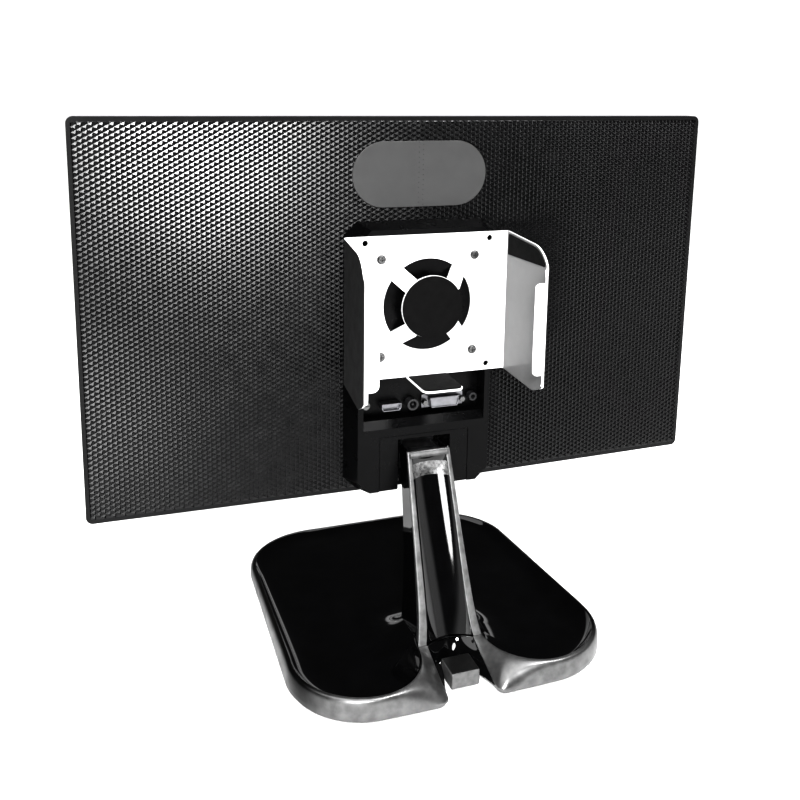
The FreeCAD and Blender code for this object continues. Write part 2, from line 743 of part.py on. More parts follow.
def wall_profile(inset):
    """The outline of a cradle wall in (y, z), with a large upper corner and a smaller lower one."""
    back = float(dim.housing_face) - 1
    front = float(plate_rear + dim.wall_depth) - inset
    high = float(dim.mount_height + dim.plate_half_height) - inset
    low = float(dim.mount_height - dim.plate_half_height) + inset
    wide = float(dim.plate_half_width) + 3 * PAST
    top_corner = (front, high - 4)
    foot_corner = (front, low + 2)
    heel_corner = (front - 16, low - 4.5)
    points = [(back, low), heel_corner, foot_corner, top_corner, (front - 20, high - 4), (back, high)]
    shape = across(points, -wide, wide)
    shape = shape.makeFillet(24 - inset, [edge for edge in shape.Edges if near(edge, *top_corner)])
    return shape.makeFillet(9, [edge for edge in shape.Edges
                                if near(edge, *foot_corner) or near(edge, *heel_corner)])


def near(edge, y, z):
    """Whether an edge that runs along X passes a place."""
    point = edge.CenterOfMass
    return abs(point.y - y) < 0.01 and abs(point.z - z) < 0.01 and runs_along(edge, 0)


def make_cradle():
    """The bent sheet with its pads: plate, walls with lips, shelf tab and the raised hub on four arms."""
    inner = float(plate_rear)
    outer = inner - float(dim.sheet)
    middle = float(dim.mount_height) + 1
    low = float(dim.mount_height - dim.plate_half_height)
    reach = float(dim.shelf_half_width)
    shelf_tip = inner + float(dim.shelf_length)

    channel = bent_channel(inner, outer)
    channel = channel.cut(rod(dim.hub_hole_radius, (0, outer - PAST, middle), (0, inner + PAST, middle)))
    shape = channel.fuse(hub_and_arms(inner, outer, middle))
    shelf = block((-reach, reach), (outer, shelf_tip), (low - float(dim.sheet), low))
    shelf = fillet_where(shelf, 6, lambda edge: runs_along(edge, 2)
                         and edge.CenterOfMass.y > shelf_tip - 0.01)
    shape = shape.fuse(shelf)
    holes = [rod(radius, (x, outer - PAST, z), (x, inner + PAST, z))
             for radius, spacing in ((2.2, dim.screw_spacing), (dim.outer_hole_radius, dim.outer_spacing))
             for x, z in mount_places(spacing)]
    node(feature("cradle_bracket", shape.cut(holes).removeSplitter()))

    node(cylinder("cradle_hub_pad", "y", dim.hub_radius - 0.3, dim.pad, (0, hub_face, middle)))
    edge_gap = 0.8
    pad_reach = reach - edge_gap
    shelf_pad = block((-pad_reach, pad_reach), (inner + 2, shelf_tip - edge_gap), (low, low + 1))
    shelf_pad = fillet_where(shelf_pad, 5.2, lambda edge: runs_along(edge, 2)
                             and edge.CenterOfMass.y > shelf_tip - edge_gap - 0.1)
    node(feature("cradle_shelf_pad", shelf_pad))
    node(feature("cradle_wall_pads", Part.makeCompound([wall_pad(side) for side in (1, -1)])))


def bent_channel(inner, outer):
    """The plate with a flared wall and a turned-in lip on each side, from its two faces' depths."""
    half = float(dim.plate_half_width)
    sheet_depth = float(dim.sheet)
    front = inner + float(dim.wall_depth)
    wall = half + float(dim.wall_flare)
    tip = wall - float(dim.lip_width)
    low = float(dim.mount_height - dim.plate_half_height)
    high = float(dim.mount_height + dim.plate_half_height)
    right = [(half + sheet_depth, outer), (wall + sheet_depth, front), (tip, front),
             (tip, front - sheet_depth), (wall, front - sheet_depth), (half, inner)]
    channel = upward(right + [(-x, y) for x, y in reversed(right)], low - 8, high)
    bend = float(dim.bend_radius)
    outside = [(half + sheet_depth, outer), (wall + sheet_depth, front)]
    inside = [(half, inner), (wall, front - sheet_depth)]
    channel = fillet_where(channel, bend + sheet_depth, lambda edge: is_bend(edge, outside))
    channel = fillet_where(channel, bend, lambda edge: is_bend(edge, inside))
    channel = channel.common(wall_profile(0))
    channel = channel.cut(block((1 - half, half - 1), (outer - PAST, inner + PAST), (low - 20, low)))
    for side in (-1, 1):
        span = sorted((side * (tip - 1), side * (wall - 2)))
        for heights in ((low - 20, dim.lip_bottom), (dim.lip_top, high + PAST)):
            channel = channel.cut(block(span, (front - 3, front + PAST), heights))
    return fillet_where(channel, 4.5, lambda edge: runs_along(edge, 1)
                        and abs(abs(edge.CenterOfMass.x) - tip) < 0.01)


def hub_and_arms(inner, outer, middle):
    """The raised disc and the four sloping arms that join it to the edge of the plate's hole."""
    hub = float(dim.hub_radius)
    hole = float(dim.hub_hole_radius)
    raised = inner + float(dim.hub_rise)
    below = raised - float(dim.sheet)
    arm_outline = [(hub - 3, raised), (hub - 3, below), (hub - 0.5, below), (hole - 2, outer),
                   (hole + 1, outer), (hole + 1, inner), (hole - 1.2, inner), (hub + 0.6, raised)]
    pieces = [rod(hub, (0, below, middle), (0, raised, middle))]
    for turn in (45, 135, 225, 315):
        arm = face_of([(r, y, -float(dim.arm_width) / 2) for r, y in arm_outline])
        arm = arm.extrude(Vector(0, 0, float(dim.arm_width)))
        arm.Placement = Placement(Vector(0, 0, middle), Rotation(Vector(0, 1, 0), turn))
        pieces.append(arm)
    return pieces


def is_bend(edge, places):
    """Whether an upright edge stands at one of the places, on either side."""
    point = edge.CenterOfMass
    return runs_along(edge, 2) and any(abs(abs(point.x) - x) < 0.01 and abs(point.y - y) < 0.01
                                       for x, y in places)


def wall_pad(side):
    """A thin pad on the inside of a wall's upper end."""
    half = float(dim.plate_half_width)
    flare = float(dim.wall_flare)
    inner = float(plate_rear)
    depth = float(dim.wall_depth)
    start = inner + 3.5
    end = inner + depth - 5
    high = float(dim.mount_height + dim.plate_half_height)

    def wall_x(y):
        return half + flare * (y - inner) / (depth - float(dim.sheet)) - 0.02

    strip = [(wall_x(start), start), (wall_x(end), end), (wall_x(end) - 1, end), (wall_x(start) - 1, start)]
    pad_shape = upward([(side * x, y) for x, y in strip], high - float(dim.wall_pad_height), high)
    return pad_shape.common(wall_profile(1.6))


def make_cradle_screws():
    """Four cross-head screws in the inner square, and threaded inserts behind the outer one."""
    shank = 1.9
    seat_radius = 3.5
    head_height = 2.1
    screws = []
    for index, (x, z) in enumerate(mount_places(dim.screw_spacing), start=1):
        owner = body("cradle_screw_%d" % index)
        section = sketch(owner, "cradle_screw_section_%d" % index, "XY_Plane", 0)
        polygon(section, [(0, -11), (shank, -11), (shank, 0), (seat_radius, 0), (seat_radius, 0.9),
                          (2.6, head_height), (0, head_height)])
        revolve(owner, section)
        groove = sketch(owner, "cradle_screw_cross_%d" % index, "XZ_Plane", -head_height)
        polygon(groove, cross_outline(1.9, 0.38))
        pocket(owner, groove, 1.2, backwards=True)
        bind_place(owner, x, plate_rear, z)
        screws.append(owner)
    node(group("cradle_screws", *screws))
    inserts = []
    start = dim.housing_face - dim.insert_length - 0.1
    for index, (x, z) in enumerate(mount_places(dim.outer_spacing), start=1):
        sleeve = cylinder("insert_sleeve_%d" % index, "y", dim.insert_radius, dim.insert_length,
                          (x, start, z))
        bore = cylinder("insert_bore_%d" % index, "y", dim.outer_hole_radius + 0.05,
                        dim.insert_length + 4, (x, start - 1, z))
        inserts.append(cut("insert_%d" % index, sleeve, bore))
    node(group("mount_inserts", *inserts))


def cross_outline(reach, blade):
    """A cross's outline: how far its arms reach and half their width."""
    arm = [(-blade, -reach), (blade, -reach), (blade, -blade)]
    outline = []
    for _ in range(4):
        outline.extend(arm)
        arm = [(-y, x) for x, y in arm]
    return [point for index, point in enumerate(outline) if point != outline[index - 1]]


# ---------------------------------------------------------------- hinge

def make_hinge():
    """The fork on the screen body, the pin through it and the washers beside the barrel."""
    y = dim.hinge_depth
    z = dim.hinge_height
    ear = dim.ear_radius
    inner = dim.barrel_half_width + dim.washer_gap + dim.washer_thickness
    outer = inner + dim.ear_thickness
    reach = dim.fork_seat_half_width
    seat = box("fork_seat", (-reach, reach), (ridge_rear - 0.95, ridge_rear + 2),
               (dim.fork_seat_bottom, dim.fork_seat_top))
    ears = []
    for name, low, high in (("left", inner, outer), ("right", -outer, -inner)):
        ears.append(box("ear_%s" % name, (low, high), (ridge_rear + 1, y), (z - ear, z + ear)))
        ears.append(cylinder("ear_eye_%s" % name, "x", ear, dim.ear_thickness, (low, y, z)))
    bore = cylinder("fork_bore", "x", dim.pin_radius, 60, (-30, y, z))
    node(cut("hinge_bracket", fuse("fork", seat, *ears), bore))

    owner = body("hinge_pin")
    section = sketch(owner, "pin_section", "XZ_Plane", 0)
    head = dim.pin_radius + 1.6
    end = outer + 1.2
    shank = dim.pin_radius
    polygon(section, [(0, -end), (head, -end), (head, -outer), (shank, -outer), (shank, outer),
                      (head, outer), (head, end), (0, end)])
    revolve(owner, section)
    owner.Placement = Placement(Vector(), Rotation(Vector(0, 1, 0), 90))
    bind_place(owner, 0, y, z)
    node(owner)

    washers = []
    for name, low in (("left", inner - dim.washer_thickness), ("right", -inner)):
        disc = cylinder("washer_disc_%s" % name, "x", ear - 0.5, dim.washer_thickness, (low, y, z))
        hole = cylinder("washer_hole_%s" % name, "x", dim.pin_radius, 3, (low - 1, y, z))
        washers.append(cut("washer_%s" % name, disc, hole))
    node(group("hinge_washers", *washers))


# ---------------------------------------------------------------- neck

def along_neck(z):
    """How far down the neck a height is, from 0 at the top to 1 at the seam."""
    return float((dim.neck_top - z) / (dim.neck_top - dim.seam_height))


def neck_half_width(z):
    """Half the neck's width at a height: it spreads faster towards the foot."""
    t = along_neck(z)
    spread = float(dim.neck_foot_half_width - dim.neck_top_half_width)
    return float(dim.neck_top_half_width) + spread * (0.45 * t + 0.55 * t ** 3)


def neck_rear(z):
    """Depth of the neck's rear face at a height, along a straight lean."""
    t = along_neck(z)
    return float(dim.neck_top_rear) + float(dim.neck_foot_rear - dim.neck_top_rear) * t


def neck_front(z):
    """Depth of the neck's front face at a height, slightly bowed."""
    t = along_neck(z)
    run = float(dim.neck_foot_front - dim.neck_top_front)
    return float(dim.neck_top_front) + run * (1.35 * t - 0.35 * t ** 2)


def rim_width(z):
    """Width of the silver edge at a height."""
    return 3.4 + 3.6 * along_neck(z) ** 2


def neck_loft(side_inset, front_inset, rear_depth, z_low, z_high, rim_share=0):
    """A loft up the neck between heights, drawn in at the sides and front and cut off before the rear."""
    wires = []
    for step in range(6):
        z = z_low + (z_high - z_low) * step / 5
        reach = neck_half_width(z) - side_inset - rim_share * rim_width(z)
        front = neck_front(z) + front_inset
        rear = neck_rear(z) - rear_depth
        corner = min(4.0, (rear - front) / 4)
        half = [(reach, rear), (reach, front + corner), (reach - corner, front)]
        points = [Vector(x, y, z) for x, y in half + [(-x, y) for x, y in reversed(half)]]
        wires.append(Part.makePolygon(points + points[:1]))
    return Part.makeLoft(wires, True, True)


def rear_slab(front_depth, rear_depth, side_inset, rim_share, z_low, z_high):
    """A loft that holds only a layer of the neck near its rear face."""
    wires = []
    for step in range(6):
        z = z_low + (z_high - z_low) * step / 5
        reach = neck_half_width(z) - side_inset - rim_share * rim_width(z)
        front = neck_rear(z) - front_depth
        rear = neck_rear(z) - rear_depth
        plan = [(-reach, front), (reach, front), (reach, rear), (-reach, rear)]
        points = [Vector(x, y, z) for x, y in plan]
        wires.append(Part.makePolygon(points + points[:1]))
    return Part.makeLoft(wires, True, True)


def make_neck():
    """The channel's shell, silver edge and gloss lining, round a steel post."""
    top = float(dim.neck_top)
    seam = float(dim.seam_height)
    wall = float(dim.neck_wall)
    rim = float(dim.rim_depth)
    depth = float(dim.trough_depth)
    lining = 1.4
    cap_low = top - 5
    barrel_axis = (dim.hinge_depth, dim.hinge_height)

    shell = neck_loft(0, 0, rim, seam, top)
    shell = shell.cut(neck_loft(wall, wall, -PAST, seam - PAST, top + PAST))
    mouth = neck_half_width(top) - wall
    shell = shell.cut(block((-mouth, mouth), (0, 30), (top - 23, top + PAST)))
    node(feature("neck_shell", shell))

    trim = rear_slab(rim, 0, 0, 0, seam, top)
    trim = trim.cut(rear_slab(rim + 1, -1, 0, 1, seam - PAST, cap_low))
    node(feature("neck_trim", trim))

    ramp_low = top - 19
    trough = rear_slab(depth, rim, wall + 0.15, 0, seam, cap_low - 0.5)
    trough = trough.cut(rear_slab(depth - lining, 0, 0, 1, seam - PAST, ramp_low))
    ramp = across([(neck_rear(ramp_low) - depth + lining, ramp_low - 0.1),
                   (neck_rear(ramp_low) + PAST, ramp_low - 0.1), (neck_rear(cap_low) + PAST, cap_low + 1),
                   (neck_rear(cap_low - 2) - rim, cap_low - 1)], -13.4, 13.4)
    trough = trough.cut(ramp).cut(along_x(dim.barrel_radius + 0.4, 40, *barrel_axis))
    node(feature("neck_trough", trough))
    node(feature("neck_core", steel_post(barrel_axis)))


def along_x(radius, reach, y, z):
    """A rod across the middle at a depth and height."""
    return rod(radius, (-reach, y, z), (reach, y, z))


def steel_post(barrel_axis):
    """The bent steel post inside the neck, with the hinge barrel at its top and a flange at its foot."""
    foot = float(dim.thumb_screw_depth)
    half_depth = 5.5
    flange_low = float(dim.dish_floor - dim.dish_sheet)
    line = [(38, 105), (50, 70), (foot - 3.5, 40), (foot, float(dim.seam_height)), (foot, flange_low)]
    front_side = [(y - half_depth, z) for y, z in line]
    rear_side = [(y + half_depth, z) for y, z in reversed(line)]
    post = across([(30, 137), (21, 136)] + front_side + rear_side, -8, 8)
    barrel = along_x(dim.barrel_radius, dim.barrel_half_width, *barrel_axis)
    flange = block((-20, 20), (foot - 12, foot + 12), (flange_low, flange_low + 3))
    bore = along_x(dim.pin_radius + dim.pin_clearance, 20, *barrel_axis)
    screw_hole = rod(dim.thumb_screw_radius + 0.1, (0, foot, 0), (0, foot, 16))
    return post.fuse([barrel, flange]).cut([bore, screw_hole]).removeSplitter()


# ---------------------------------------------------------------- base

def base_outline(inset, z0, z1):
    """The rounded outline of the base, drawn in by an inset, between two heights."""
    rear = float(dim.base_rear_half_width) - inset
    front = float(dim.base_front_half_width) - inset
    reach = float(dim.base_half_depth) - inset
    shape = upward([(-front, -reach), (front, -reach), (rear, reach), (-rear, reach)], z0, z1)
    shape = fillet_where(shape, dim.base_rear_corner - inset,
                         lambda edge: runs_along(edge, 2) and edge.CenterOfMass.y > 0)
    return fillet_where(shape, dim.base_front_corner - inset,
                        lambda edge: runs_along(edge, 2) and edge.CenterOfMass.y < 0)


def wing_edge(x):
    """Plan depth of the wing's upper edge at a distance x from the middle: a quarter ellipse."""
    end = float(dim.wing_reach)
    start = float(dim.neck_foot_half_width)
    if x <= start:
        return float(dim.neck_foot_rear)
    share = (end - x) / (end - start)
    rise = float(dim.base_half_depth - dim.rim_width - dim.neck_foot_rear)
    return float(dim.neck_foot_rear) + rise * math.sqrt(max(0.0, 1 - share ** 2))


def wing_tip(x):
    """Plan depth of the wing's outer edge, rounded where it turns into the notch."""
    reach = float(dim.base_half_depth)
    radius = float(dim.wing_corner)
    short = radius - (x - float(dim.notch_half_width))
    return reach if short <= 0 else reach - radius + math.sqrt(max(0.0, radius ** 2 - short ** 2))


def wing_height(x, share):
    """Height of the wing's top: a hollow slope at the notch that turns into a steep wall."""
    low = float(dim.base_underside) + 1
    outward = (x - float(dim.notch_half_width)) / float(dim.wing_reach - dim.notch_half_width)
    return low + (float(dim.seam_height) - low) * (1 - share) ** (1.3 - outward)


def wing_section(x):
    """The wing's closed outline in an upright plane at a distance x from the middle."""
    low = float(dim.base_underside)
    inner = wing_edge(x)
    outer = wing_tip(x)
    profile = [(inner + (outer - inner) * share, wing_height(x, share)) for share in (1, 2 / 3, 1 / 3, 0)]
    return [Vector(x, outer, low)] + [Vector(x, y, z) for y, z in profile] + [Vector(x, inner, low)]


def wing_room(side):
    """A tall block over a wing's plan, used to keep other pieces clear of it."""
    start = float(dim.neck_foot_half_width)
    end = float(dim.wing_reach)
    far = float(dim.base_half_depth) + 10
    gap = 0.7
    steps = [start + (end - start) * index / 12 for index in range(13)]
    plan = [(0, far), (0, wing_edge(start) - gap)] + [(x, wing_edge(x) - gap) for x in steps] + [(end, far)]
    return upward([(side * x, y) for x, y in plan], 0, 60)


def rim_height(y):
    """Height of the rim's top, level at the rear and falling towards the front."""
    rear = float(dim.rim_rear_height)
    front = float(dim.rim_front_height)
    level = float(dim.base_half_depth) / 2
    share = (level - y) / (level + float(dim.base_half_depth))
    return rear + (front - rear) * min(1.0, max(0.0, share))


def rim_section(point, inward):
    """The rim's closed outline in the upright plane that holds a plan point and its inward direction."""
    low = float(dim.base_underside)
    high = rim_height(point.y)
    bend = float(dim.rim_round)
    corner = bend * (1 - math.sqrt(0.5))
    width = float(dim.rim_width)
    profile = [(0, low), (0, high - bend), (corner, high - corner), (bend, high), (width, high),
               (width, low)]
    return [Vector(point.x, point.y, z) + inward * across for across, z in profile]


def half_ring():
    """The rim on one side of the middle, from the notch round to the front."""
    start = float(dim.notch_half_width)
    end = float(dim.wing_reach)
    steps = 12
    sections = [wing_section(start + (end - start) * (index / steps) ** 1.5) for index in range(steps)]
    outline = base_outline(0, 0, 1).Faces
    bottom = [face for face in outline if abs(face.normalAt(0, 0).z) > 0.9][0]
    track = [point for point in around(bottom.OuterWire, 120) if point.x > -0.01]
    rear = [point for point in track if point.y > 0 and point.x < end + 3]
    kept = [point for point in track if point not in rear]
    kept.sort(key=lambda point: math.atan2(point.x, point.y))
    for index, point in enumerate(kept):
        before = kept[max(index - 1, 0)]
        after = kept[min(index + 1, len(kept) - 1)]
        along = (after - before).normalize()
        sections.append(rim_section(point, Vector(along.y, -along.x, 0)))
    last = Vector(0, -float(dim.base_half_depth), 0)
    sections.append(rim_section(last, Vector(0, 1, 0)))
    wires = [Part.makePolygon(section + section[:1]) for section in sections]
    return Part.makeLoft(wires, True, True)


def around(wire, count):
    """Evenly spaced points along a closed wire, at height 0."""
    return [Vector(point.x, point.y, 0) for point in wire.discretize(Number=count)[:-1]]


def make_base():
    """The rim with its wings, the dished top inside it, the weight, the cover and what stands on them."""
    low = float(dim.base_underside)
    floor = float(dim.dish_floor)
    notch = float(dim.notch_half_width)
    under_dish = floor - float(dim.dish_sheet)
    weight_low = low + 1.5
    screw_hole = upright_hole(dim.thumb_screw_radius + 0.4)
    head_hole = upright_hole(dim.thumb_head_radius + 2)
    rooms = [wing_room(1), wing_room(-1)]
    half = half_ring()
    ring = half.fuse(half.mirror(Vector(), Vector(1, 0, 0)))
    node(feature("base_rim", ring.removeSplitter()))
    node(feature("base_dish", dish_shape(under_dish, rooms)))

    weight = base_outline(float(dim.rim_width) + 16, weight_low, under_dish)
    foot = dim.thumb_screw_depth
    head_room = rod(dim.thumb_head_radius + 1, (0, foot, 0), (0, foot, 4.2))
    notch_room = block((-notch - 9, notch + 9), (78, FAR), (0, floor))
    node(feature("base_weight", largest(weight.cut([notch_room, screw_hole, head_room] + rooms))))
    cover = base_outline(float(dim.rim_width) + 0.8, low, weight_low)
    notch_room = block((-notch - 0.3, notch + 0.3), (dim.neck_foot_rear + 3, FAR), (0, floor))
    node(feature("base_bottom_cover", largest(cover.cut([notch_room, head_hole] + rooms))))
    make_notch_pieces(rooms)
    make_feet()


def upright_hole(radius):
    """A cutter down through the base where the thumb screw stands."""
    return rod(radius, (0, dim.thumb_screw_depth, 0), (0, dim.thumb_screw_depth, 20))


def largest(shape):
    """The biggest solid of a shape, without slivers that a cut leaves."""
    return max(shape.Solids, key=lambda solid: solid.Volume)


def dish_shape(under_dish, rooms):
    """The dished plate: it follows the rim's slope on top and is hollowed out to its floor."""
    rear_high = float(dim.rim_rear_height)
    front_high = float(dim.rim_front_height)
    reach = float(dim.base_half_depth)
    floor = float(dim.dish_floor)
    wedge = across([(-reach - 1, 0), (reach + 1, 0), (reach + 1, rear_high), (reach / 2, rear_high),
                    (-reach, front_high)], -FAR, FAR)
    tray = base_outline(float(dim.rim_width) + 0.8, under_dish, 60).common(wedge)
    bowl = base_outline(float(dim.rim_width) + 1, floor, 60)
    bowl = fillet_where(bowl, float(dim.dish_round), lambda edge: abs(edge.CenterOfMass.z - floor) < 0.01)
    neck_seat = Part.Face(collar_outline(float(dim.collar_spread), 0)).extrude(Vector(0, 0, 60))
    return largest(tray.cut([bowl, neck_seat] + rooms))


def collar_outline(grow, z):
    """The outline round the neck's foot at a height, with rounded front corners."""
    reach = float(dim.neck_foot_half_width) - 0.2 + grow
    front = float(dim.neck_foot_front) + 0.2 - grow
    rear = float(dim.neck_foot_rear) + 20
    corner = 4 + grow * 0.8
    bend = corner * (1 - math.sqrt(0.5))
    edges = [Part.LineSegment(Vector(-reach, rear, z), Vector(reach, rear, z)),
             Part.LineSegment(Vector(reach, rear, z), Vector(reach, front + corner, z)),
             Part.Arc(Vector(reach, front + corner, z), Vector(reach - bend, front + bend, z),
                      Vector(reach - corner, front, z)),
             Part.LineSegment(Vector(reach - corner, front, z), Vector(corner - reach, front, z)),
             Part.Arc(Vector(corner - reach, front, z), Vector(bend - reach, front + bend, z),
                      Vector(-reach, front + corner, z)),
             Part.LineSegment(Vector(-reach, front + corner, z), Vector(-reach, rear, z))]
    return Part.Wire([edge.toShape() for edge in edges])


def make_notch_pieces(rooms):
    """The collar under the neck, the gloss lining of the notch and the silver block in it."""
    notch = float(dim.notch_half_width)
    top = float(dim.seam_height) - 0.2
    rear = float(dim.neck_foot_rear)
    lining_front = rear - float(dim.trough_depth) + 1.1
    lining_rear = rear - 3
    node(feature("neck_collar", collar_shape(top, lining_front, rooms)))

    low = float(dim.base_underside) + 1.5
    tip = wing_tip(notch)
    lock_front = float(dim.lock_front)
    floor = across([(lining_front, low), (lining_rear + 2, low), (lining_rear, low + 5), (lining_rear, top),
                    (lining_front, top)], -notch, notch)
    slope = [(rear + (tip - rear) * share, wing_height(notch, share) - 0.6)
             for share in (0, 0.25, 0.5, 0.75)]
    side_outline = [(lining_rear, low), (tip - 6, low)] + slope[::-1] + [(lining_rear, slope[0][1])]
    sides = [across(side_outline, *sorted((side * (notch - 1.2), side * notch))) for side in (1, -1)]
    bridge = block((-notch, notch), (lining_rear, lock_front - 0.3), (low, low + 5))
    node(feature("trough_foot", floor.fuse(sides + [bridge]).removeSplitter()))

    reach = dim.lock_half_width
    lock = block((-reach, reach), (lock_front, dim.lock_rear), (dim.base_underside, dim.lock_height))
    node(feature("base_lock_block", fillet_where(lock, 1.2, is_lock_edge)))


def is_lock_edge(edge):
    """The upper and rear edges of the block in the notch."""
    point = edge.CenterOfMass
    return point.z > float(dim.lock_height) - 0.1 or point.y > float(dim.lock_rear) - 0.1


def collar_shape(top, lining_front, rooms):
    """The flared foot under the neck, open for the steel post and its flange."""
    low = float(dim.dish_floor - dim.dish_sheet)
    notch = float(dim.notch_half_width)
    foot = float(dim.thumb_screw_depth)
    wires = []
    steps = 6
    for step in range(steps + 1):
        share = step / steps
        grow = float(dim.collar_spread) * (1 - share) ** 2.2
        wires.append(collar_outline(grow, low + (top - low) * share))
    collar = Part.makeLoft(wires, True, False)
    collar = collar.cut(block((-21, 21), (foot - 12, foot + 13), (0, low + 3.5)))
    post_room = across([(foot - 6.5, 0), (foot + 6.5, 0), (foot + 6.5, 40), (foot - 10, 40)], -8.5, 8.5)
    notch_room = block((-notch, notch), (lining_front, lining_front + 20), (0, 40))
    return largest(collar.cut([post_room, notch_room] + rooms))


def make_feet():
    """Rubber pads under the base and the thumb screw that holds the neck."""
    places = ((92, -94), (-92, -94), (92, 88), (-92, 88), (0, -116))
    feet = [cylinder("foot_%d" % index, "z", dim.foot_radius, dim.base_underside, (x, y, 0))
            for index, (x, y) in enumerate(places, start=1)]
    node(group("base_feet", *feet))
    owner = body("base_thumb_screw")
    section = sketch(owner, "thumb_screw_section", "XZ_Plane", 0)
    head = dim.thumb_head_radius
    shank = dim.thumb_screw_radius
    polygon(section, [(0, 0.6), (head, 0.6), (head, 4.1), (shank, 4.1), (shank, 15), (0, 15)])
    revolve(owner, section)
    bind_place(owner, 0, dim.thumb_screw_depth, 0)
    node(owner)


make_bezel()
make_layers()
make_back_shell()
make_housing()
make_lower_cover()
make_ports()
make_boards()
make_buttons()
make_cradle()
make_cradle_screws()
make_hinge()
make_neck()
make_base()
doc.recompute()

for item in doc.Objects:
    faults = {"Invalid", "Error"}.intersection(item.State)
    if faults:
        raise RuntimeError("%s is in state %s" % (item.Name, item.State))
for item in nodes:
    if item.Shape.isNull() or not item.Shape.isValid() or not item.Shape.Solids:
        raise RuntimeError("%s has no sound shape" % item.Label)
for item in nodes:
    item.Shape.exportStep(os.path.join("parts", item.Label + ".step"))
print("wrote %d pieces" % len(nodes))
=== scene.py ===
"""Looks for the monitor on its stand with the empty mini PC cradle.

Everything is in metres in the part's own frame: +Z up, the screen looks along -Y, the cradle opens
along +Y, and the origin is on the table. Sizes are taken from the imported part's own boxes.
"""
import json
import math

import bpy
from mathutils import Matrix, Vector


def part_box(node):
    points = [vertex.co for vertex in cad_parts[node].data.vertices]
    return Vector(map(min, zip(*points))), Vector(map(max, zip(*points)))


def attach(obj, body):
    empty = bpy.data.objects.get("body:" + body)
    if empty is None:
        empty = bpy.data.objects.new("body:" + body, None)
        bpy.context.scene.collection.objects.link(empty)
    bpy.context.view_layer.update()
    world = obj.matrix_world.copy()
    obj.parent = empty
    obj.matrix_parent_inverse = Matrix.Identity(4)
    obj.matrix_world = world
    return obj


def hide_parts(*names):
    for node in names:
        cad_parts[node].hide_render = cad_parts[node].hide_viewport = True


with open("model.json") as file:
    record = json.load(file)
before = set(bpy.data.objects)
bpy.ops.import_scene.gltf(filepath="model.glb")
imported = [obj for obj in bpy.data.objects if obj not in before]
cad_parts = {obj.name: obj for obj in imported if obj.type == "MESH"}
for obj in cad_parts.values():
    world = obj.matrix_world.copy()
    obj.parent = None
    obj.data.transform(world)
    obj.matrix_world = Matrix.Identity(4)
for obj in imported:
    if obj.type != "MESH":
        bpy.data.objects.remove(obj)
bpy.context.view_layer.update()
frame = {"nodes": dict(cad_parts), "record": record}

MM = 0.001


# ---------------------------------------------------------------- sizes read from the frame

rim_low, rim_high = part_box("base_rim")
relief_low, relief_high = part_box("rear_relief_panel")
trim_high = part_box("neck_trim")[1]
cover_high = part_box("rear_cover")[1]
dish_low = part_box("base_dish")[0]
foot_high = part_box("trough_foot")[1]

# The back of the screen rises to an upright ridge in its middle.
HALF_SCREEN = cover_high.x
RIDGE_REAR = cover_high.y
RIDGE_RISE = 5 * MM

# The neck leans towards the screen and widens downwards to the seam with the base.
SEAM_Z = rim_high.z
NECK_TOP_Z = trim_high.z
NECK_TOP_HALF = 17.5 * MM
NECK_FOOT_HALF = trim_high.x
NECK_FOOT_REAR = trim_high.y
NECK_TOP_REAR = NECK_FOOT_REAR - 52 * MM
NECK_FOOT_FRONT = NECK_FOOT_REAR - 41 * MM
RAIL_DEPTH = 3 * MM
BAR_LOW = NECK_TOP_Z - 4.6 * MM
CHANNEL_DEPTH = 6.5 * MM

# A hollow ramp closes the channel at its top: silver below its middle, and gloss black above it as painted
# shade for the dark band of the silver ramp.
RAMP_HIGH = NECK_TOP_Z - 4.2 * MM
RAMP_MIDDLE = NECK_TOP_Z - 9.5 * MM
RAMP_LOW = NECK_TOP_Z - 20 * MM

# The base is a rounded slab, a little narrower in front, with a notch in the middle of its rear.
BASE_HALF_DEPTH = rim_high.y
BASE_REAR_HALF = BASE_HALF_DEPTH - 11 * MM
BASE_FRONT_HALF = BASE_HALF_DEPTH - 18 * MM
REAR_CORNER = 57 * MM
FRONT_CORNER = 66 * MM
BASE_LOW = rim_low.z
RIM_WIDTH = 5 * MM
RIM_REAR_Z = SEAM_Z - 1 * MM
RIM_FRONT_Z = 10 * MM
EDGE_HEIGHT = 3.5 * MM
UNDERCUT = 2.5 * MM
NOTCH_HALF = foot_high.x
WING_REACH = 66 * MM
WING_CORNER = 6 * MM
DISH_FLOOR = dish_low.z + 2 * MM

# The rim's wall stays high near its top and falls steeply at its foot, where its points gather.
WALL_SHOULDER = 3.6
WALL_STEEPNESS = 0.36
GATHER = 1.6


# ---------------------------------------------------------------- mesh helpers

def shown(name, verts, faces, material, body, replaced=(), smooth=True):
    """A mesh piece that rides on a body and stands for the CAD nodes it replaces."""
    mesh = bpy.data.meshes.new(name)
    mesh.from_pydata([tuple(v) for v in verts], [], faces)
    mesh.validate()
    mesh.polygons.foreach_set("use_smooth", [smooth] * len(mesh.polygons))
    mesh.materials.append(material)
    piece = bpy.data.objects.new(name, mesh)
    bpy.context.scene.collection.objects.link(piece)
    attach(piece, body)
    if replaced:
        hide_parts(*replaced)
    return piece


def grid(rows, closed=False):
    """Vertices and quads of a surface given as rows of points."""
    across = len(rows[0])
    verts = [point for row in rows for point in row]
    faces = []
    for i in range(len(rows) - 1):
        low, high = i * across, (i + 1) * across
        for j in range(across - (0 if closed else 1)):
            k = (j + 1) % across
            faces.append((low + j, low + k, high + k, high + j))
    return verts, faces


def merge(*parts):
    """Several (vertices, faces) pairs as one."""
    verts, faces = [], []
    for part_verts, part_faces in parts:
        offset = len(verts)
        verts.extend(part_verts)
        faces.extend(tuple(index + offset for index in face) for face in part_faces)
    return verts, faces


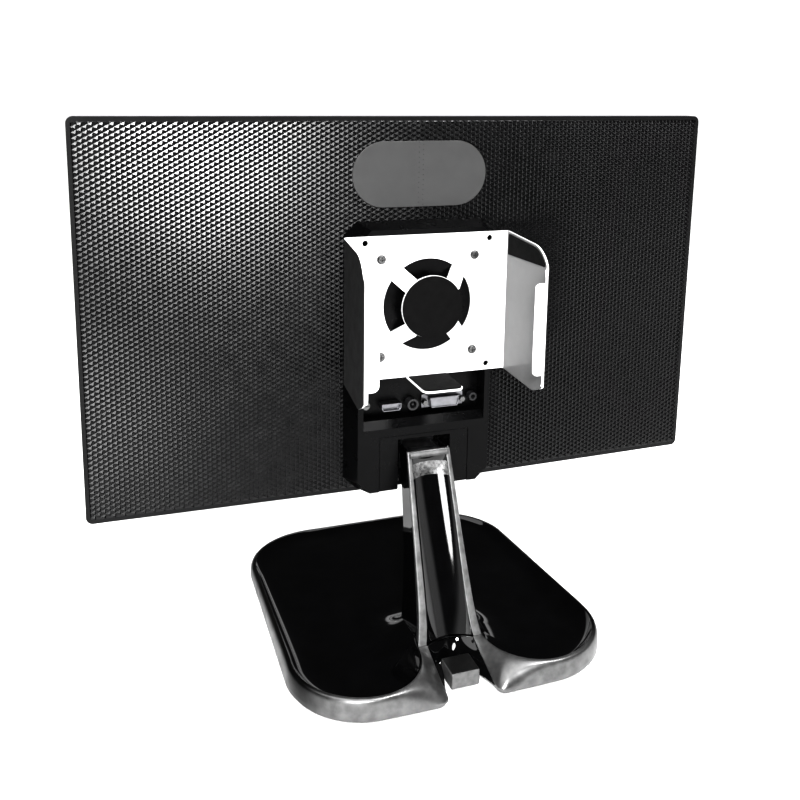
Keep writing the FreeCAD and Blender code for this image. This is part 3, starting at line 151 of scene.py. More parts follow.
def mirrored(part):
    """The same surface on the other side of the middle, with its faces turned round."""
    verts, faces = part
    return [Vector((-v[0], v[1], v[2])) for v in verts], [tuple(reversed(face)) for face in faces]


def soften(piece, width):
    """Rounds a piece's sharp edges a little, so that they catch the light."""
    weld = piece.modifiers.new("weld", "WELD")
    weld.merge_threshold = 0.002 * MM
    bevel = piece.modifiers.new("bevel", "BEVEL")
    bevel.width = width
    bevel.segments = 2
    bevel.limit_method = "ANGLE"
    bevel.angle_limit = math.radians(35)
    bevel.use_clamp_overlap = True
    normals = piece.modifiers.new("normals", "WEIGHTED_NORMAL")
    normals.keep_sharp = False
    normals.weight = 60


def mix(a, b, t):
    return a + (b - a) * t


def clamp(value):
    return min(1.0, max(0.0, value))


def ease(value):
    t = clamp(value)
    return t * t * (3 - 2 * t)


# ---------------------------------------------------------------- materials

def surface(name, colour, roughness, grain, wear, tint, metallic=0.0, coat=0.0, sheen=0.5):
    """A Principled material with noise in its height, roughness and colour.

    grain is (feature size, height), wear is (feature size, change in roughness) and tint is
    (feature size, share by which the colour varies). Sizes and heights are in metres.
    """
    material = bpy.data.materials.new(name)
    material.use_nodes = True
    nodes = material.node_tree.nodes
    links = material.node_tree.links
    shader = nodes["Principled BSDF"]
    # The plain colour and roughness only count for a program that doesn't follow the noise nodes.
    shader.inputs["Base Color"].default_value = (*colour, 1)
    shader.inputs["Roughness"].default_value = roughness
    shader.inputs["Metallic"].default_value = metallic
    shader.inputs["Specular IOR Level"].default_value = sheen
    shader.inputs["Coat Weight"].default_value = coat
    shader.inputs["Coat Roughness"].default_value = 0.04
    place = nodes.new("ShaderNodeTexCoord")

    def noise(size, detail):
        texture = nodes.new("ShaderNodeTexNoise")
        texture.inputs["Scale"].default_value = 1 / size
        texture.inputs["Detail"].default_value = detail
        links.new(place.outputs["Object"], texture.inputs["Vector"])
        return texture.outputs["Fac"]

    def between(factor, low, high):
        """Stretches the noise, which mostly lies between 0.3 and 0.7, from low to high."""
        spread = nodes.new("ShaderNodeMapRange")
        spread.inputs["From Min"].default_value = 0.3
        spread.inputs["From Max"].default_value = 0.7
        spread.inputs["To Min"].default_value = low
        spread.inputs["To Max"].default_value = high
        links.new(factor, spread.inputs["Value"])
        return spread.outputs["Result"]

    grain_size, grain_height = grain
    bump = nodes.new("ShaderNodeBump")
    bump.inputs["Strength"].default_value = 1.0
    bump.inputs["Distance"].default_value = grain_height
    links.new(noise(grain_size, 3), bump.inputs["Height"])
    links.new(bump.outputs["Normal"], shader.inputs["Normal"])

    wear_size, wear_change = wear
    worn = between(noise(wear_size, 4), roughness - wear_change, roughness + wear_change)
    links.new(worn, shader.inputs["Roughness"])

    tint_size, tint_share = tint
    blend = nodes.new("ShaderNodeMix")
    blend.data_type = "RGBA"
    blend.inputs["A"].default_value = (*[c * (1 - tint_share) for c in colour], 1)
    blend.inputs["B"].default_value = (*[min(1, c * (1 + tint_share)) for c in colour], 1)
    links.new(between(noise(tint_size, 5), 0, 1), blend.inputs["Factor"])
    links.new(blend.outputs["Result"], shader.inputs["Base Color"])
    return material


def axes(owner, source, output):
    """The X, Y and Z sockets of a vector that a new node of a material or world puts out."""
    nodes = owner.node_tree.nodes
    parts = nodes.new("ShaderNodeSeparateXYZ")
    owner.node_tree.links.new(nodes.new(source).outputs[output], parts.inputs["Vector"])
    return parts.outputs


def reckoned(owner, operation, *values):
    """The result of a Math node on one or two sockets."""
    node = owner.node_tree.nodes.new("ShaderNodeMath")
    node.operation = operation
    for value, socket in zip(values, node.inputs):
        owner.node_tree.links.new(value, socket)
    return node.outputs["Value"]


def graded(owner, value, start, end, kind="LINEAR", low=0.0, high=1.0):
    """A value that goes from low to high as a socket's value goes from start to end."""
    spread = owner.node_tree.nodes.new("ShaderNodeMapRange")
    spread.interpolation_type = kind
    spread.inputs["From Min"].default_value = start
    spread.inputs["From Max"].default_value = end
    spread.inputs["To Min"].default_value = low
    spread.inputs["To Max"].default_value = high
    owner.node_tree.links.new(value, spread.inputs["Value"])
    return spread.outputs["Result"]


def repaint(material, factor, shade):
    """Lays a grey over the material's own colour where the factor is 1."""
    links = material.node_tree.links
    base = material.node_tree.nodes["Principled BSDF"].inputs["Base Color"]
    paint = material.node_tree.nodes.new("ShaderNodeMix")
    paint.data_type = "RGBA"
    links.new(factor, paint.inputs["Factor"])
    links.new(base.links[0].from_socket, paint.inputs["A"])
    paint.inputs["B"].default_value = (shade, shade, shade, 1)
    links.new(paint.outputs["Result"], base)


def bezel_black():
    return surface("bezel_black", (0.013, 0.013, 0.014), 0.5, grain=(0.35 * MM, 0.02 * MM),
                   wear=(14 * MM, 0.06), tint=(20 * MM, 0.15))


def cover_black():
    return surface("cover_black", (0.004, 0.004, 0.0042), 0.36, sheen=0.2, grain=(0.5 * MM, 0.01 * MM),
                   wear=(18 * MM, 0.05), tint=(25 * MM, 0.15))


def relief_black():
    return surface("relief_black", (0.0025, 0.0025, 0.0027), 0.245, sheen=0.35,
                   grain=(0.4 * MM, 0.006 * MM), wear=(9 * MM, 0.03), tint=(30 * MM, 0.12))


def badge_grey():
    return surface("badge_grey", (0.032, 0.032, 0.032), 0.42, grain=(0.3 * MM, 0.006 * MM),
                   wear=(16 * MM, 0.04), tint=(12 * MM, 0.08))


def housing_black():
    return surface("housing_black", (0.002, 0.002, 0.0022), 0.3, sheen=0.12,
                   grain=(0.45 * MM, 0.012 * MM), wear=(12 * MM, 0.06), tint=(15 * MM, 0.2))


def cradle_white():
    """White paint, with painted shade on the walls: grey on their inner sides and black on their outer
    sides.
    """
    material = surface("cradle_white", (0.72, 0.72, 0.72), 0.42, coat=0.15, grain=(0.8 * MM, 0.012 * MM),
                       wear=(10 * MM, 0.05), tint=(22 * MM, 0.02))
    wall_near = 50 * MM
    wall_far = 56 * MM
    place = axes(material, "ShaderNodeTexCoord", "Object")
    facing = axes(material, "ShaderNodeNewGeometry", "True Normal")
    outward = reckoned(material, "MULTIPLY", place["X"], facing["X"])
    # Painted shade: black on the outer sides of the cradle's walls.
    repaint(material, graded(material, outward, wall_near, wall_far), shade=0.012)
    # Painted shade: grey on the inner sides of the cradle's walls.
    repaint(material, graded(material, outward, -wall_near, -wall_far), shade=0.12)
    return material


def pad_black():
    return surface("pad_black", (0.003, 0.003, 0.003), 0.85, sheen=0.15, grain=(0.25 * MM, 0.06 * MM),
                   wear=(5 * MM, 0.05), tint=(8 * MM, 0.2))


def screw_nickel():
    return surface("screw_nickel", (0.13, 0.13, 0.13), 0.3, metallic=1.0, grain=(0.3 * MM, 0.006 * MM),
                   wear=(2 * MM, 0.08), tint=(3 * MM, 0.12))


def port_steel():
    return surface("port_steel", (0.2, 0.2, 0.21), 0.36, metallic=1.0, grain=(0.4 * MM, 0.01 * MM),
                   wear=(3 * MM, 0.08), tint=(5 * MM, 0.12))


def hinge_steel():
    return surface("hinge_steel", (0.16, 0.16, 0.165), 0.38, metallic=1.0, grain=(0.3 * MM, 0.01 * MM),
                   wear=(5 * MM, 0.08), tint=(6 * MM, 0.2))


def tray_steel():
    return surface("tray_steel", (0.5, 0.5, 0.52), 0.35, metallic=1.0, grain=(0.6 * MM, 0.01 * MM),
                   wear=(8 * MM, 0.08), tint=(9 * MM, 0.15))


def board_green():
    return surface("board_green", (0.012, 0.07, 0.03), 0.35, coat=0.3, grain=(0.9 * MM, 0.03 * MM),
                   wear=(3 * MM, 0.05), tint=(1.6 * MM, 0.35))


def diffuser_white():
    return surface("diffuser_white", (0.75, 0.75, 0.74), 0.6, grain=(0.5 * MM, 0.01 * MM),
                   wear=(12 * MM, 0.05), tint=(20 * MM, 0.03))


def panel_glass():
    return surface("panel_glass", (0.006, 0.0065, 0.008), 0.17, grain=(0.12 * MM, 0.0015 * MM),
                   wear=(40 * MM, 0.02), tint=(60 * MM, 0.1))


def lens_smoke():
    return surface("lens_smoke", (0.12, 0.13, 0.15), 0.12, coat=0.5, grain=(0.4 * MM, 0.004 * MM),
                   wear=(1 * MM, 0.03), tint=(2 * MM, 0.1))


def piano_black():
    return surface("piano_black", (0.002, 0.002, 0.0022), 0.055, sheen=0.35, grain=(22 * MM, 0.02 * MM),
                   wear=(30 * MM, 0.02), tint=(18 * MM, 0.25))


def lining_gloss():
    return surface("lining_gloss", (0.002, 0.002, 0.0022), 0.05, sheen=0.55, grain=(22 * MM, 0.03 * MM),
                   wear=(30 * MM, 0.02), tint=(18 * MM, 0.25))


def lock_grey():
    """Grey paint on the lock's upright sides, and painted shade in black on its top."""
    material = surface("lock_grey", (0.11, 0.11, 0.11), 0.45, metallic=0.4, grain=(0.4 * MM, 0.01 * MM),
                       wear=(4 * MM, 0.05), tint=(4 * MM, 0.25))
    slanted = 0.6
    level = 0.9
    facing = axes(material, "ShaderNodeNewGeometry", "True Normal")
    # Painted shade: the faces that look up turn black.
    repaint(material, graded(material, facing["Z"], slanted, level), shade=0.004)
    return material


def neck_silver():
    return surface("neck_silver", (0.19, 0.19, 0.19), 0.42, metallic=0.85, grain=(0.22 * MM, 0.008 * MM),
                   wear=(10 * MM, 0.05), tint=(5 * MM, 0.25))


def ramp_silver():
    return surface("ramp_silver", (0.16, 0.16, 0.16), 0.3, metallic=0.9, grain=(1.6 * MM, 0.09 * MM),
                   wear=(3 * MM, 0.08), tint=(2.5 * MM, 0.5))


def silver_paint():
    """Gunmetal paint round the notch of the base, which darkens towards the sides and the front."""
    material = surface("silver_paint", (0.14, 0.14, 0.14), 0.33, metallic=0.85,
                       grain=(0.22 * MM, 0.008 * MM), wear=(10 * MM, 0.05), tint=(7 * MM, 0.22))
    fade_rear = BASE_HALF_DEPTH - 6 * MM
    fade_front = BASE_HALF_DEPTH - 36 * MM
    fade_near = 60 * MM
    fade_far = 100 * MM
    place = axes(material, "ShaderNodeTexCoord", "Object")
    ahead = graded(material, place["Y"], fade_rear, fade_front, "SMOOTHSTEP")
    aside = reckoned(material, "ABSOLUTE", place["X"])
    beside = graded(material, aside, fade_near, fade_far, "SMOOTHSTEP")
    repaint(material, reckoned(material, "MULTIPLY", ahead, beside), shade=0.012)
    return material


def rubber_black():
    return surface("rubber_black", (0.012, 0.012, 0.012), 0.8, grain=(0.4 * MM, 0.04 * MM),
                   wear=(3 * MM, 0.05), tint=(4 * MM, 0.2))


def weight_steel():
    return surface("weight_steel", (0.22, 0.22, 0.22), 0.5, metallic=0.9, grain=(0.8 * MM, 0.02 * MM),
                   wear=(9 * MM, 0.08), tint=(14 * MM, 0.15))


def floor_white():
    return surface("floor_white", (0.9, 0.9, 0.9), 0.75, grain=(3 * MM, 0.01 * MM),
                   wear=(60 * MM, 0.03), tint=(200 * MM, 0.005))


MATERIALS = {
    "bezel_black": bezel_black(),
    "cover_black": cover_black(),
    "relief_black": relief_black(),
    "badge_grey": badge_grey(),
    "housing_black": housing_black(),
    "cradle_white": cradle_white(),
    "pad_black": pad_black(),
    "screw_nickel": screw_nickel(),
    "port_steel": port_steel(),
    "hinge_steel": hinge_steel(),
    "tray_steel": tray_steel(),
    "board_green": board_green(),
    "white_diffuser": diffuser_white(),
    "panel_glass": panel_glass(),
    "lens_smoke": lens_smoke(),
    "neck_gloss": lining_gloss(),
    "base_gloss": piano_black(),
    "lock_grey": lock_grey(),
    "neck_silver": neck_silver(),
    "ramp_silver": ramp_silver(),
    "base_silver": silver_paint(),
    "foot_rubber": rubber_black(),
    "weight_steel": weight_steel(),
}
MATERIALS["screw_black"] = MATERIALS["hinge_steel"]
MATERIALS["port_plate_black"] = MATERIALS["housing_black"]


# ---------------------------------------------------------------- carried-over pieces

# Width in millimetres by which each piece's sharp edges are rounded.
SOFT_EDGES = {
    "rear_cover": 0.6,
    "front_bezel": 0.5,
    "badge_plate": 0.35,
    "console_housing": 0.9,
    "console_lower_cover": 0.25,
    "cradle_bracket": 0.3,
    "cradle_hub_pad": 0.3,
    "cradle_shelf_pad": 0.2,
    "neck_shell": 0.8,
    "base_lock_block": 0.6,
    "hdmi_port": 0.15,
    "dvi_port": 0.25,
    "port_posts": 0.2,
    "power_inlet": 0.3,
    "audio_jack": 0.3,
    "hinge_bracket": 0.4,
    "hinge_pin": 0.3,
    "cradle_screws": 0.15,
    "base_thumb_screw": 0.4,
    "base_feet": 0.3,
    "neck_core": 0.5,
}


def dress_cad_pieces():
    """Gives every CAD node its material from the record's slots, and softens the edges that show."""
    slots = {entry["node"]: entry["material_slot"] for entry in frame["record"]["subparts"]}
    for name, piece in frame["nodes"].items():
        piece.data.materials.clear()
        piece.data.materials.append(MATERIALS[slots[name]])
        if name in SOFT_EDGES:
            soften(piece, SOFT_EDGES[name] * MM)
    lock = frame["nodes"]["base_lock_block"]
    lock.data.materials[0] = MATERIALS["lock_grey"]


# ---------------------------------------------------------------- back of the screen

def back_surface(x):
    """Depth of the back at a distance from the middle: highest along the ridge."""
    return RIDGE_REAR - RIDGE_RISE * abs(x) / HALF_SCREEN


def relief_skin():
    """Upright columns of small three-sided pyramids, every other column shifted by half a step."""
    column = 3.5 * MM
    step = 3.8 * MM
    tall = 0.68 * MM
    short = 0.46 * MM
    apex_drop = 0.7 * MM
    apex_shift = 0.4
    sunk = 0.12 * MM
    low_x, high_x = relief_low.x, relief_high.x
    low_z, high_z = relief_low.z, relief_high.z
    columns = int((high_x - low_x) / column) + 2
    steps = int((high_z - low_z) / step) + 3
    verts = []
    faces = []

    def put(x, z, height):
        """Adds a point inside the panel's outline, and keeps the outline itself flat."""
        x = min(high_x, max(low_x, x))
        z = min(high_z, max(low_z, z))
        edge = min(x - low_x, high_x - x, z - low_z, high_z - z) <= 0
        verts.append((x, back_surface(x) - sunk + (0 if edge else height), z))
        return len(verts) - 1

    def foot(i, j):
        """Adds the foot of the pyramids at one place of the lattice."""
        return put(low_x + (i - 0.5) * column, low_z + (j - 1 + 0.5 * (i % 2)) * step, 0)

    def pyramid(a, b, c, height):
        """Raises a triangle's apex, moved down and towards the triangle's upright edge."""
        across = [verts[k][0] for k in (a, b, c)]
        upward = [verts[k][2] for k in (a, b, c)]
        if len(set(across)) == 1 or len(set(upward)) == 1:
            return
        upright = min(across) if across.count(min(across)) == 2 else max(across)
        top = put(mix(sum(across) / 3, upright, apex_shift), sum(upward) / 3 - apex_drop, height)
        faces.extend([(a, b, top), (b, c, top), (c, a, top)])

    lattice = [[foot(i, j) for j in range(steps + 1)] for i in range(columns + 1)]
    for i in range(columns):
        for j in range(steps):
            a, a_up = lattice[i][j], lattice[i][j + 1]
            b, b_up = lattice[i + 1][j], lattice[i + 1][j + 1]
            if i % 2:
                pyramid(a, a_up, b_up, tall)
                pyramid(b, a, b_up, short)
            else:
                pyramid(a, a_up, b, tall)
                pyramid(b, a_up, b_up, short)
    return shown("relief_skin", verts, faces, MATERIALS["relief_black"], "display",
                 ["rear_relief_panel"], smooth=False)


# ---------------------------------------------------------------- neck

def along_neck(z):
    """How far down the neck a height is, from 0 at the top to 1 at the seam."""
    return (NECK_TOP_Z - z) / (NECK_TOP_Z - SEAM_Z)


def neck_half(z):
    """Half the neck's width at a height: it widens more and more towards a flared foot."""
    steady = 0.5
    growing = 0.2
    flare = 0.3
    t = along_neck(z)
    return mix(NECK_TOP_HALF, NECK_FOOT_HALF, steady * t + growing * t ** 3 + flare * t ** 12)


def neck_rear(z):
    """Where the leaning neck's rear face is at a height."""
    return mix(NECK_TOP_REAR, NECK_FOOT_REAR, along_neck(z))


def rail_width(z):
    """Width of a rail's rear face: 3.4 mm at the top and 7 mm at the seam."""
    return (3.4 + 3.6 * along_neck(z) ** 2) * MM


def rail_section(z):
    """The rail's outline at a height: a rounded rectangle in a level plane."""
    bend = 0.7 * MM
    turns = 4
    half = neck_half(z)
    outer = half - bend
    inner = half - rail_width(z) + bend
    rear = neck_rear(z) - bend
    front = neck_rear(z) - RAIL_DEPTH + bend
    points = []
    centres = ((outer, rear), (inner, rear), (inner, front), (outer, front))
    for quarter, (x, y) in enumerate(centres):
        for k in range(turns + 1):
            angle = math.radians(90 * quarter + 90 * k / turns)
            points.append(Vector((x + bend * math.cos(angle), y + bend * math.sin(angle), z)))
    return points


def bar_section(x):
    """The top bar's outline at one x, leaning with the neck and rounded over at the top."""
    bend = 1.1 * MM
    turns = 4
    round_z = NECK_TOP_Z - bend
    round_rear = neck_rear(round_z)
    outline = [(neck_rear(BAR_LOW), BAR_LOW), (round_rear, round_z)]
    for k in range(1, turns + 1):
        angle = math.radians(90 * k / turns)
        outline.append((round_rear - bend + bend * math.cos(angle), round_z + bend * math.sin(angle)))
    outline.append((neck_rear(NECK_TOP_Z) - RAIL_DEPTH, NECK_TOP_Z))
    outline.append((neck_rear(BAR_LOW) - RAIL_DEPTH, BAR_LOW))
    return [Vector((x, y, z)) for y, z in outline]


def neck_rails():
    """The silver edge of the channel: a rail up each side and a bar across the top."""
    levels = 60
    steps = 12
    low = SEAM_Z + 0.25 * MM
    reach = neck_half(NECK_TOP_Z) - 1.2 * MM
    heights = [mix(low, NECK_TOP_Z, i / levels) for i in range(levels + 1)]
    places = [mix(-reach, reach, i / steps) for i in range(steps + 1)]
    rail = grid([rail_section(z) for z in heights], closed=True)
    bar = grid([bar_section(x) for x in places], closed=True)
    verts, faces = merge(rail, mirrored(rail), bar)
    return shown("neck_rails", verts, faces, MATERIALS["neck_silver"], "stand", ["neck_trim"])


def hollow(t):
    """Depth share of the channel across its width: a wide round U."""
    roundness = 1.6
    fullness = 0.8
    return (1 - abs(t) ** roundness) ** fullness


def channel_row(half, edge, bottom):
    """Points across the channel between its edges and its bottom, both given as (y, z)."""
    count = 40
    points = []
    for k in range(count + 1):
        t = -math.cos(math.pi * k / count)
        depth = hollow(t)
        y, z = (mix(high, low, depth) for high, low in zip(edge, bottom))
        points.append(Vector((half * t, y, z)))
    return points


def channel_rows(low, high, levels):
    """Rows across the channel between two heights, with the hollow ramp that closes it at the top."""
    tucked = 0.3 * MM
    below_rails = 0.5 * MM
    rows = []
    for i in range(levels + 1):
        z = mix(low, high, i / levels)
        into_ramp = clamp((z - RAMP_LOW) / (RAMP_HIGH - RAMP_LOW))
        depth = CHANNEL_DEPTH * (1 - into_ramp ** 2.2) ** 0.7 + tucked
        half = neck_half(z) - rail_width(z) + tucked
        rear = neck_rear(z) - below_rails
        rows.append(channel_row(half, (rear, z), (rear - depth, z)))
    return rows


def neck_channel():
    """The gloss lining of the channel, up to the silver ramp and again above it, where the black gloss is
    painted shade on the ramp.
    """
    below = grid(channel_rows(SEAM_Z + 0.4 * MM, RAMP_LOW + 0.3 * MM, 80))
    # Painted shade: the upper part of the ramp is lined in gloss black instead of silver.
    above = grid(channel_rows(RAMP_MIDDLE, RAMP_HIGH, 16))
    verts, faces = merge(below, above)
    return shown("neck_channel", verts, faces, MATERIALS["neck_gloss"], "stand", ["neck_trough"])


def neck_ramp():
    """The silver lower part of the hollow ramp, with the step down into the gloss lining."""
    # A little under 1, so that rounding can't put a point past the channel's edge.
    just_inside = 0.999
    rows = channel_rows(RAMP_LOW, RAMP_MIDDLE, 24)
    half = rows[0][-1].x
    step = []
    for point in rows[0]:
        depth = 0.9 * MM * hollow(point.x / half * just_inside)
        step.append(point - Vector((0, depth, 0.2 * MM)))
    verts, faces = grid([step] + rows)
    return shown("neck_ramp", verts, faces, MATERIALS["ramp_silver"], "stand")


def channel_foot():
    """The channel's end below the seam, whose walls run out along the notch."""
    levels = 40
    slope = (NECK_FOOT_REAR - NECK_TOP_REAR) / (NECK_TOP_Z - SEAM_Z)
    fall = SEAM_Z - BASE_LOW - 1.5 * MM
    bottom_rear = NECK_FOOT_REAR - CHANNEL_DEPTH + 0.5 * MM
    bottom_z = SEAM_Z - 0.2 * MM
    rows = []
    for i in range(levels + 1):
        share = i / levels
        drop = share * fall
        y = mix(NECK_FOOT_REAR, BASE_HALF_DEPTH - WING_CORNER, share)
        edge = (y, notch_edge_height(y) - 0.3 * MM)
        bottom = (bottom_rear + slope * drop, bottom_z - drop)
        rows.append(channel_row(NOTCH_HALF - 0.1 * MM, edge, bottom))
    lip = []
    for point in rows[0]:
        bulge = 0.5 * MM * hollow(point.x / NOTCH_HALF * 0.99)
        lip.append(Vector((point.x * 0.97, point.y + bulge, point.z)))
    under_lip = [point + Vector((0, 0.35 * MM, -1.1 * MM)) for point in lip]
    verts, faces = merge(grid(rows), grid([lip, under_lip, rows[1]]))
    return shown("channel_foot", verts, faces, MATERIALS["neck_gloss"], "stand", ["trough_foot"])


# ---------------------------------------------------------------- base

def wing_upper(share):
    """The wing's upper edge: a quarter ellipse from the neck's foot (0) round to the rear rim (1)."""
    angle = math.pi / 2 * share
    rise = BASE_HALF_DEPTH - RIM_WIDTH - NECK_FOOT_REAR
    return Vector((WING_REACH - (WING_REACH - NECK_FOOT_HALF) * math.cos(angle),
                   NECK_FOOT_REAR + rise * math.sin(angle),
                   mix(SEAM_Z, RIM_REAR_Z, share)))


def wall_height(share, shoulder=WALL_SHOULDER, steepness=WALL_STEEPNESS):
    """How high the wall still is, from 1 at its top (share 0) to 0 at the bottom edge (share 1)."""
    return max(0.0, 1 - share ** shoulder) ** steepness


def side_normal():
    """Outward direction of the base's slightly slanted side."""
    run = BASE_REAR_HALF - BASE_FRONT_HALF
    length = math.hypot(run, 2 * BASE_HALF_DEPTH)
    return Vector((2 * BASE_HALF_DEPTH / length, -run / length))


def corner_centre(half, y_edge, radius):
    """Centre of a rounded corner between an end of the base and its slanted side."""
    normal = side_normal()
    y = y_edge - math.copysign(radius, y_edge)
    x = half - (radius + normal.y * (y - y_edge)) / normal.x
    return Vector((x, y))


def base_track():
    """Plan points and outward directions round one side, from the rear edge to the front middle."""
    corner_steps = 44
    side_steps = 24
    front_steps = 12
    rear = corner_centre(BASE_REAR_HALF, BASE_HALF_DEPTH, REAR_CORNER)
    front = corner_centre(BASE_FRONT_HALF, -BASE_HALF_DEPTH, FRONT_CORNER)
    side = side_normal()
    side_angle = math.atan2(side.y, side.x)
    track = []

    def arc(centre, radius, start, end):
        for k in range(corner_steps + 1):
            angle = mix(start, end, k / corner_steps)
            out = Vector((math.cos(angle), math.sin(angle)))
            track.append((centre + out * radius, out))

    arc(rear, REAR_CORNER, math.pi / 2, side_angle)
    side_start = rear + side * REAR_CORNER
    side_end = front + side * FRONT_CORNER
    for k in range(1, side_steps):
        track.append((side_start.lerp(side_end, k / side_steps), side))
    arc(front, FRONT_CORNER, side_angle, -math.pi / 2)
    for k in range(1, front_steps + 1):
        track.append((Vector((front.x * (1 - k / front_steps), -BASE_HALF_DEPTH)), Vector((0, -1))))
    return track


def rim_z(y):
    """Height of the rim's top, level at the rear and falling towards the front."""
    level = BASE_HALF_DEPTH / 2
    return mix(RIM_REAR_Z, RIM_FRONT_Z, clamp((level - y) / (level + BASE_HALF_DEPTH)))


def notch_edge(share):
    """A plan point on the wing's outer edge: down the notch, round its corner and along the rear."""
    down = BASE_HALF_DEPTH - WING_CORNER - NECK_FOOT_REAR
    curve = WING_CORNER * math.pi / 2
    along = WING_REACH - NOTCH_HALF - WING_CORNER
    travelled = share * (down + curve + along)
    if travelled < down:
        return Vector((NOTCH_HALF, NECK_FOOT_REAR + travelled))
    if travelled < down + curve:
        angle = (travelled - down) / WING_CORNER
        return Vector((NOTCH_HALF + WING_CORNER * (1 - math.cos(angle)),
                       BASE_HALF_DEPTH - WING_CORNER + WING_CORNER * math.sin(angle)))
    return Vector((NOTCH_HALF + WING_CORNER + travelled - down - curve, BASE_HALF_DEPTH))


def notch_edge_height(y):
    """Height of the wing's edge beside the notch, which falls in a hollow curve from the seam."""
    hollowness = 1.25
    fall = clamp((y - NECK_FOOT_REAR) / (BASE_HALF_DEPTH - NECK_FOOT_REAR))
    return mix(BASE_LOW + EDGE_HEIGHT, SEAM_Z, (1 - fall) ** hollowness)


def wing_rows(count, lip):
    """Rows that fan out from the wing's upper edge to the notch and to the rear.

    Beside the notch the wing is almost a straight slope, and it turns into the rim's rounded wall.
    """
    steps = 54
    rows = []
    for i in range(steps):
        share = i / steps
        upper = wing_upper(share)
        outer = notch_edge(share ** 0.9)
        foot = notch_edge_height(outer.y)
        turn = share ** 2
        gather = mix(1.0, GATHER, turn)
        shoulder = mix(1.1, WALL_SHOULDER, turn)
        steepness = mix(1.0, WALL_STEEPNESS, turn)
        row = [upper - Vector((0, 0, lip))]
        for k in range(count + 1):
            v = 1 - (1 - k / count) ** gather
            plan = upper.xy.lerp(outer, v)
            height = (upper.z - foot) * wall_height(v, shoulder, steepness)
            row.append(Vector((plan.x, plan.y, foot + height)))
        tucked = outer.lerp(upper.xy, UNDERCUT / (outer - upper.xy).length)
        row.append(Vector((tucked.x, tucked.y, BASE_LOW)))
        rows.append(row)
    return rows


def skirt_rows():
    """Rows of the silver skirt on one side, from the notch round to the front middle."""
    count = 22
    lip = 1.2 * MM
    rows = wing_rows(count, lip)
    for point, out in base_track():
        top = rim_z(point.y)
        inner = point - out * RIM_WIDTH
        row = [Vector((inner.x, inner.y, top - lip))]
        for k in range(count + 1):
            share = 1 - (1 - k / count) ** GATHER
            plan = inner.lerp(point, share)
            height = mix(BASE_LOW + EDGE_HEIGHT, top, wall_height(share))
            row.append(Vector((plan.x, plan.y, height)))
        tucked = point - out * UNDERCUT
        row.append(Vector((tucked.x, tucked.y, BASE_LOW)))
        rows.append(row)
    return rows


def base_skirt():
    """The silver outside of the base: rim, rear wings and the walls of the notch."""
    side = grid(skirt_rows())
    verts, faces = merge(side, mirrored(side))
    return shown("base_skirt", verts, faces, MATERIALS["base_silver"], "stand", ["base_rim"])


def bowl_outer():
    """The bowl's edge on one side: along the wing, then inside the rim to the front middle."""
    wing_steps = 44
    points = [wing_upper(i / wing_steps) for i in range(wing_steps)]
    for point, out in base_track():
        inner = point - out * RIM_WIDTH
        points.append(Vector((inner.x, inner.y, rim_z(point.y))))
    return points


def foot_outline(share):
    """A point round the neck's foot on one side, from its rear corner (0) to its front middle (1)."""
    half = NECK_FOOT_HALF - 0.2 * MM
    rear = NECK_FOOT_REAR - 1 * MM
    bend = 9 * MM
    side = rear - (NECK_FOOT_FRONT + bend)
    curve = bend * math.pi / 2
    front = half - bend
    travelled = share * (side + curve + front)
    if travelled < side:
        return Vector((half, rear - travelled))
    if travelled < side + curve:
        angle = (travelled - side) / bend
        return Vector((half - bend + bend * math.cos(angle),
                       NECK_FOOT_FRONT + bend - bend * math.sin(angle)))
    return Vector((half - bend - (travelled - side - curve), NECK_FOOT_FRONT))


def base_bowl():
    """The gloss dish: flat in the middle, with wide hollow sweeps up to the rim and the neck."""
    count = 56
    # The first rows fan out from the rear corner of the neck's foot, the others go all round it.
    fan = 60
    fan_slide = 0.16
    evenness = 0.4
    rim_sweep = 20 * MM
    rim_curve = 3.0
    neck_sweep = 40 * MM
    neck_curve = 2.6
    neck_top = SEAM_Z + 3 * MM
    blend = 4
    outer = bowl_outer()
    last = len(outer) - 1
    rows = []
    for i, edge in enumerate(outer):
        beyond_fan = max(0.0, (i - fan) / (last - fan))
        inner = foot_outline(fan_slide * min(1, i / fan) + (1 - fan_slide) * beyond_fan)
        reach = (edge.xy - inner).length
        row = []
        for k in range(count + 1):
            share = (1 - evenness) * ease(k / count) + evenness * k / count
            plan = inner.lerp(edge.xy, share)
            near_rim = clamp(1 - (1 - share) * reach / rim_sweep) ** rim_curve * (edge.z - DISH_FLOOR)
            near_neck = clamp(1 - share * reach / neck_sweep) ** neck_curve * (neck_top - DISH_FLOOR)
            rise = (near_rim ** blend + near_neck ** blend) ** (1 / blend)
            limit = mix(neck_top, edge.z, share) - DISH_FLOOR
            row.append(Vector((plan.x, plan.y, DISH_FLOOR + min(rise, limit))))
        rows.append(row)
    half = grid(rows)
    verts, faces = merge(half, mirrored(half))
    return shown("base_bowl", verts, faces, MATERIALS["base_gloss"], "stand", ["base_dish", "neck_collar"])


# ---------------------------------------------------------------- studio and camera

def white_floor():
    """A large square on the ground."""
    half = 60
    corners = [(-half, -half, 0), (half, -half, 0), (half, half, 0), (-half, half, 0)]
    mesh = bpy.data.meshes.new("floor")
    mesh.from_pydata(corners, [], [(0, 1, 2, 3)])
    mesh.materials.append(floor_white())
    floor = bpy.data.objects.new("floor", mesh)
    bpy.context.scene.collection.objects.link(floor)


def aimed(name, data, place, direction):
    """An object for a lamp at a place, shining along a direction."""
    lamp_object = bpy.data.objects.new(name, data)
    lamp_object.location = place
    lamp_object.rotation_mode = "QUATERNION"
    lamp_object.rotation_quaternion = Vector(direction).to_track_quat("-Z", "Y")
    bpy.context.scene.collection.objects.link(lamp_object)


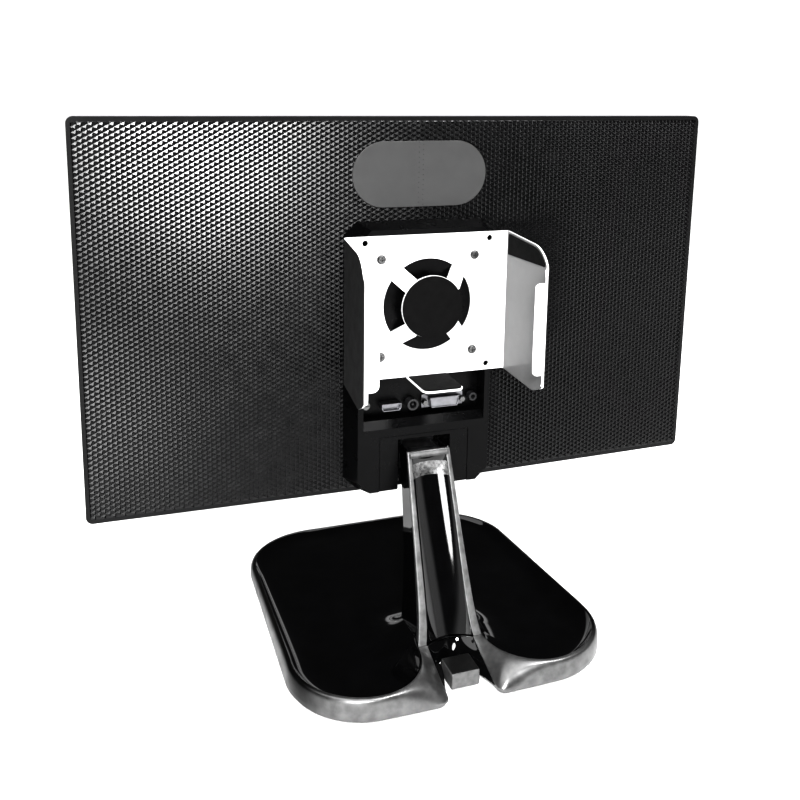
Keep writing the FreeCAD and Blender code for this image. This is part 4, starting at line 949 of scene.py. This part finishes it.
def lamp(name, place, target, size, power):
    """An oval lamp, with its size in metres and its power in watts."""
    light = bpy.data.lights.new(name, "AREA")
    light.shape = "ELLIPSE"
    light.size, light.size_y = size
    light.energy = power
    aimed(name, light, place, Vector(target) - Vector(place))


def sky_light():
    """Soft light from nearly straight above."""
    sun = bpy.data.lights.new("sky", "SUN")
    sun.energy = 2.6
    sun.angle = math.radians(70)
    aimed("sky", sun, (0, 0, 0), (-0.12, 0.05, -1))


def lights():
    lamp("key", place=(0.68, 2.05, 1.6), target=(0.08, 0.1, 0.1), size=(0.5, 0.45), power=84)
    lamp("sliver", place=(1.12, 2.0, 0.72), target=(0, 0.05, 0.1), size=(0.75, 0.5), power=16)
    lamp("overhead", place=(-0.72, 0.8, 2.1), target=(0, 0, 0.1), size=(0.9, 0.6), power=30)
    sky_light()


def room():
    """A white room: bright up to a little over the horizon and dark above."""
    bright = 1.0
    dark = 0.06
    fade_low = math.sin(math.radians(5))
    fade_high = math.sin(math.radians(9))
    world = bpy.data.worlds.new("studio")
    world.use_nodes = True
    nodes = world.node_tree.nodes
    background = nodes["Background"]
    background.inputs["Color"].default_value = (1, 1, 1, 1)
    upward = axes(world, "ShaderNodeTexCoord", "Generated")["Z"]
    strength = graded(world, upward, fade_low, fade_high, "SMOOTHSTEP", bright, dark)
    world.node_tree.links.new(strength, background.inputs["Strength"])
    bpy.context.scene.world = world


def camera():
    """A camera behind the object, a little to its left and above."""
    azimuth = math.radians(160.3)
    elevation = math.radians(10.8)
    roll = math.radians(0.8)
    distance = 0.695
    cradle_middle = Vector((0, 29 * MM, 264 * MM))
    target = cradle_middle + Vector((22.9 * MM, 0, 39.4 * MM))
    back = Vector((math.sin(azimuth) * math.cos(elevation),
                   -math.cos(azimuth) * math.cos(elevation),
                   math.sin(elevation)))
    data = bpy.data.cameras.new("camera")
    data.sensor_width = 36
    data.lens = 42.1
    data.shift_y = -0.18
    data.clip_start = 0.05
    data.clip_end = 100
    eye = bpy.data.objects.new("camera", data)
    eye.location = target + back * distance
    eye.rotation_mode = "QUATERNION"
    turn = (-back).to_track_quat("-Z", "Y")
    eye.rotation_quaternion = turn @ Matrix.Rotation(roll, 3, "Z").to_quaternion()
    bpy.context.scene.collection.objects.link(eye)
    bpy.context.scene.camera = eye


dress_cad_pieces()
relief_skin()
neck_rails()
neck_channel()
neck_ramp()
channel_foot()
base_skirt()
base_bowl()
white_floor()
lights()
room()
camera()
bpy.context.scene.view_settings.view_transform = "Standard"
bpy.context.scene.view_settings.look = "High Contrast"
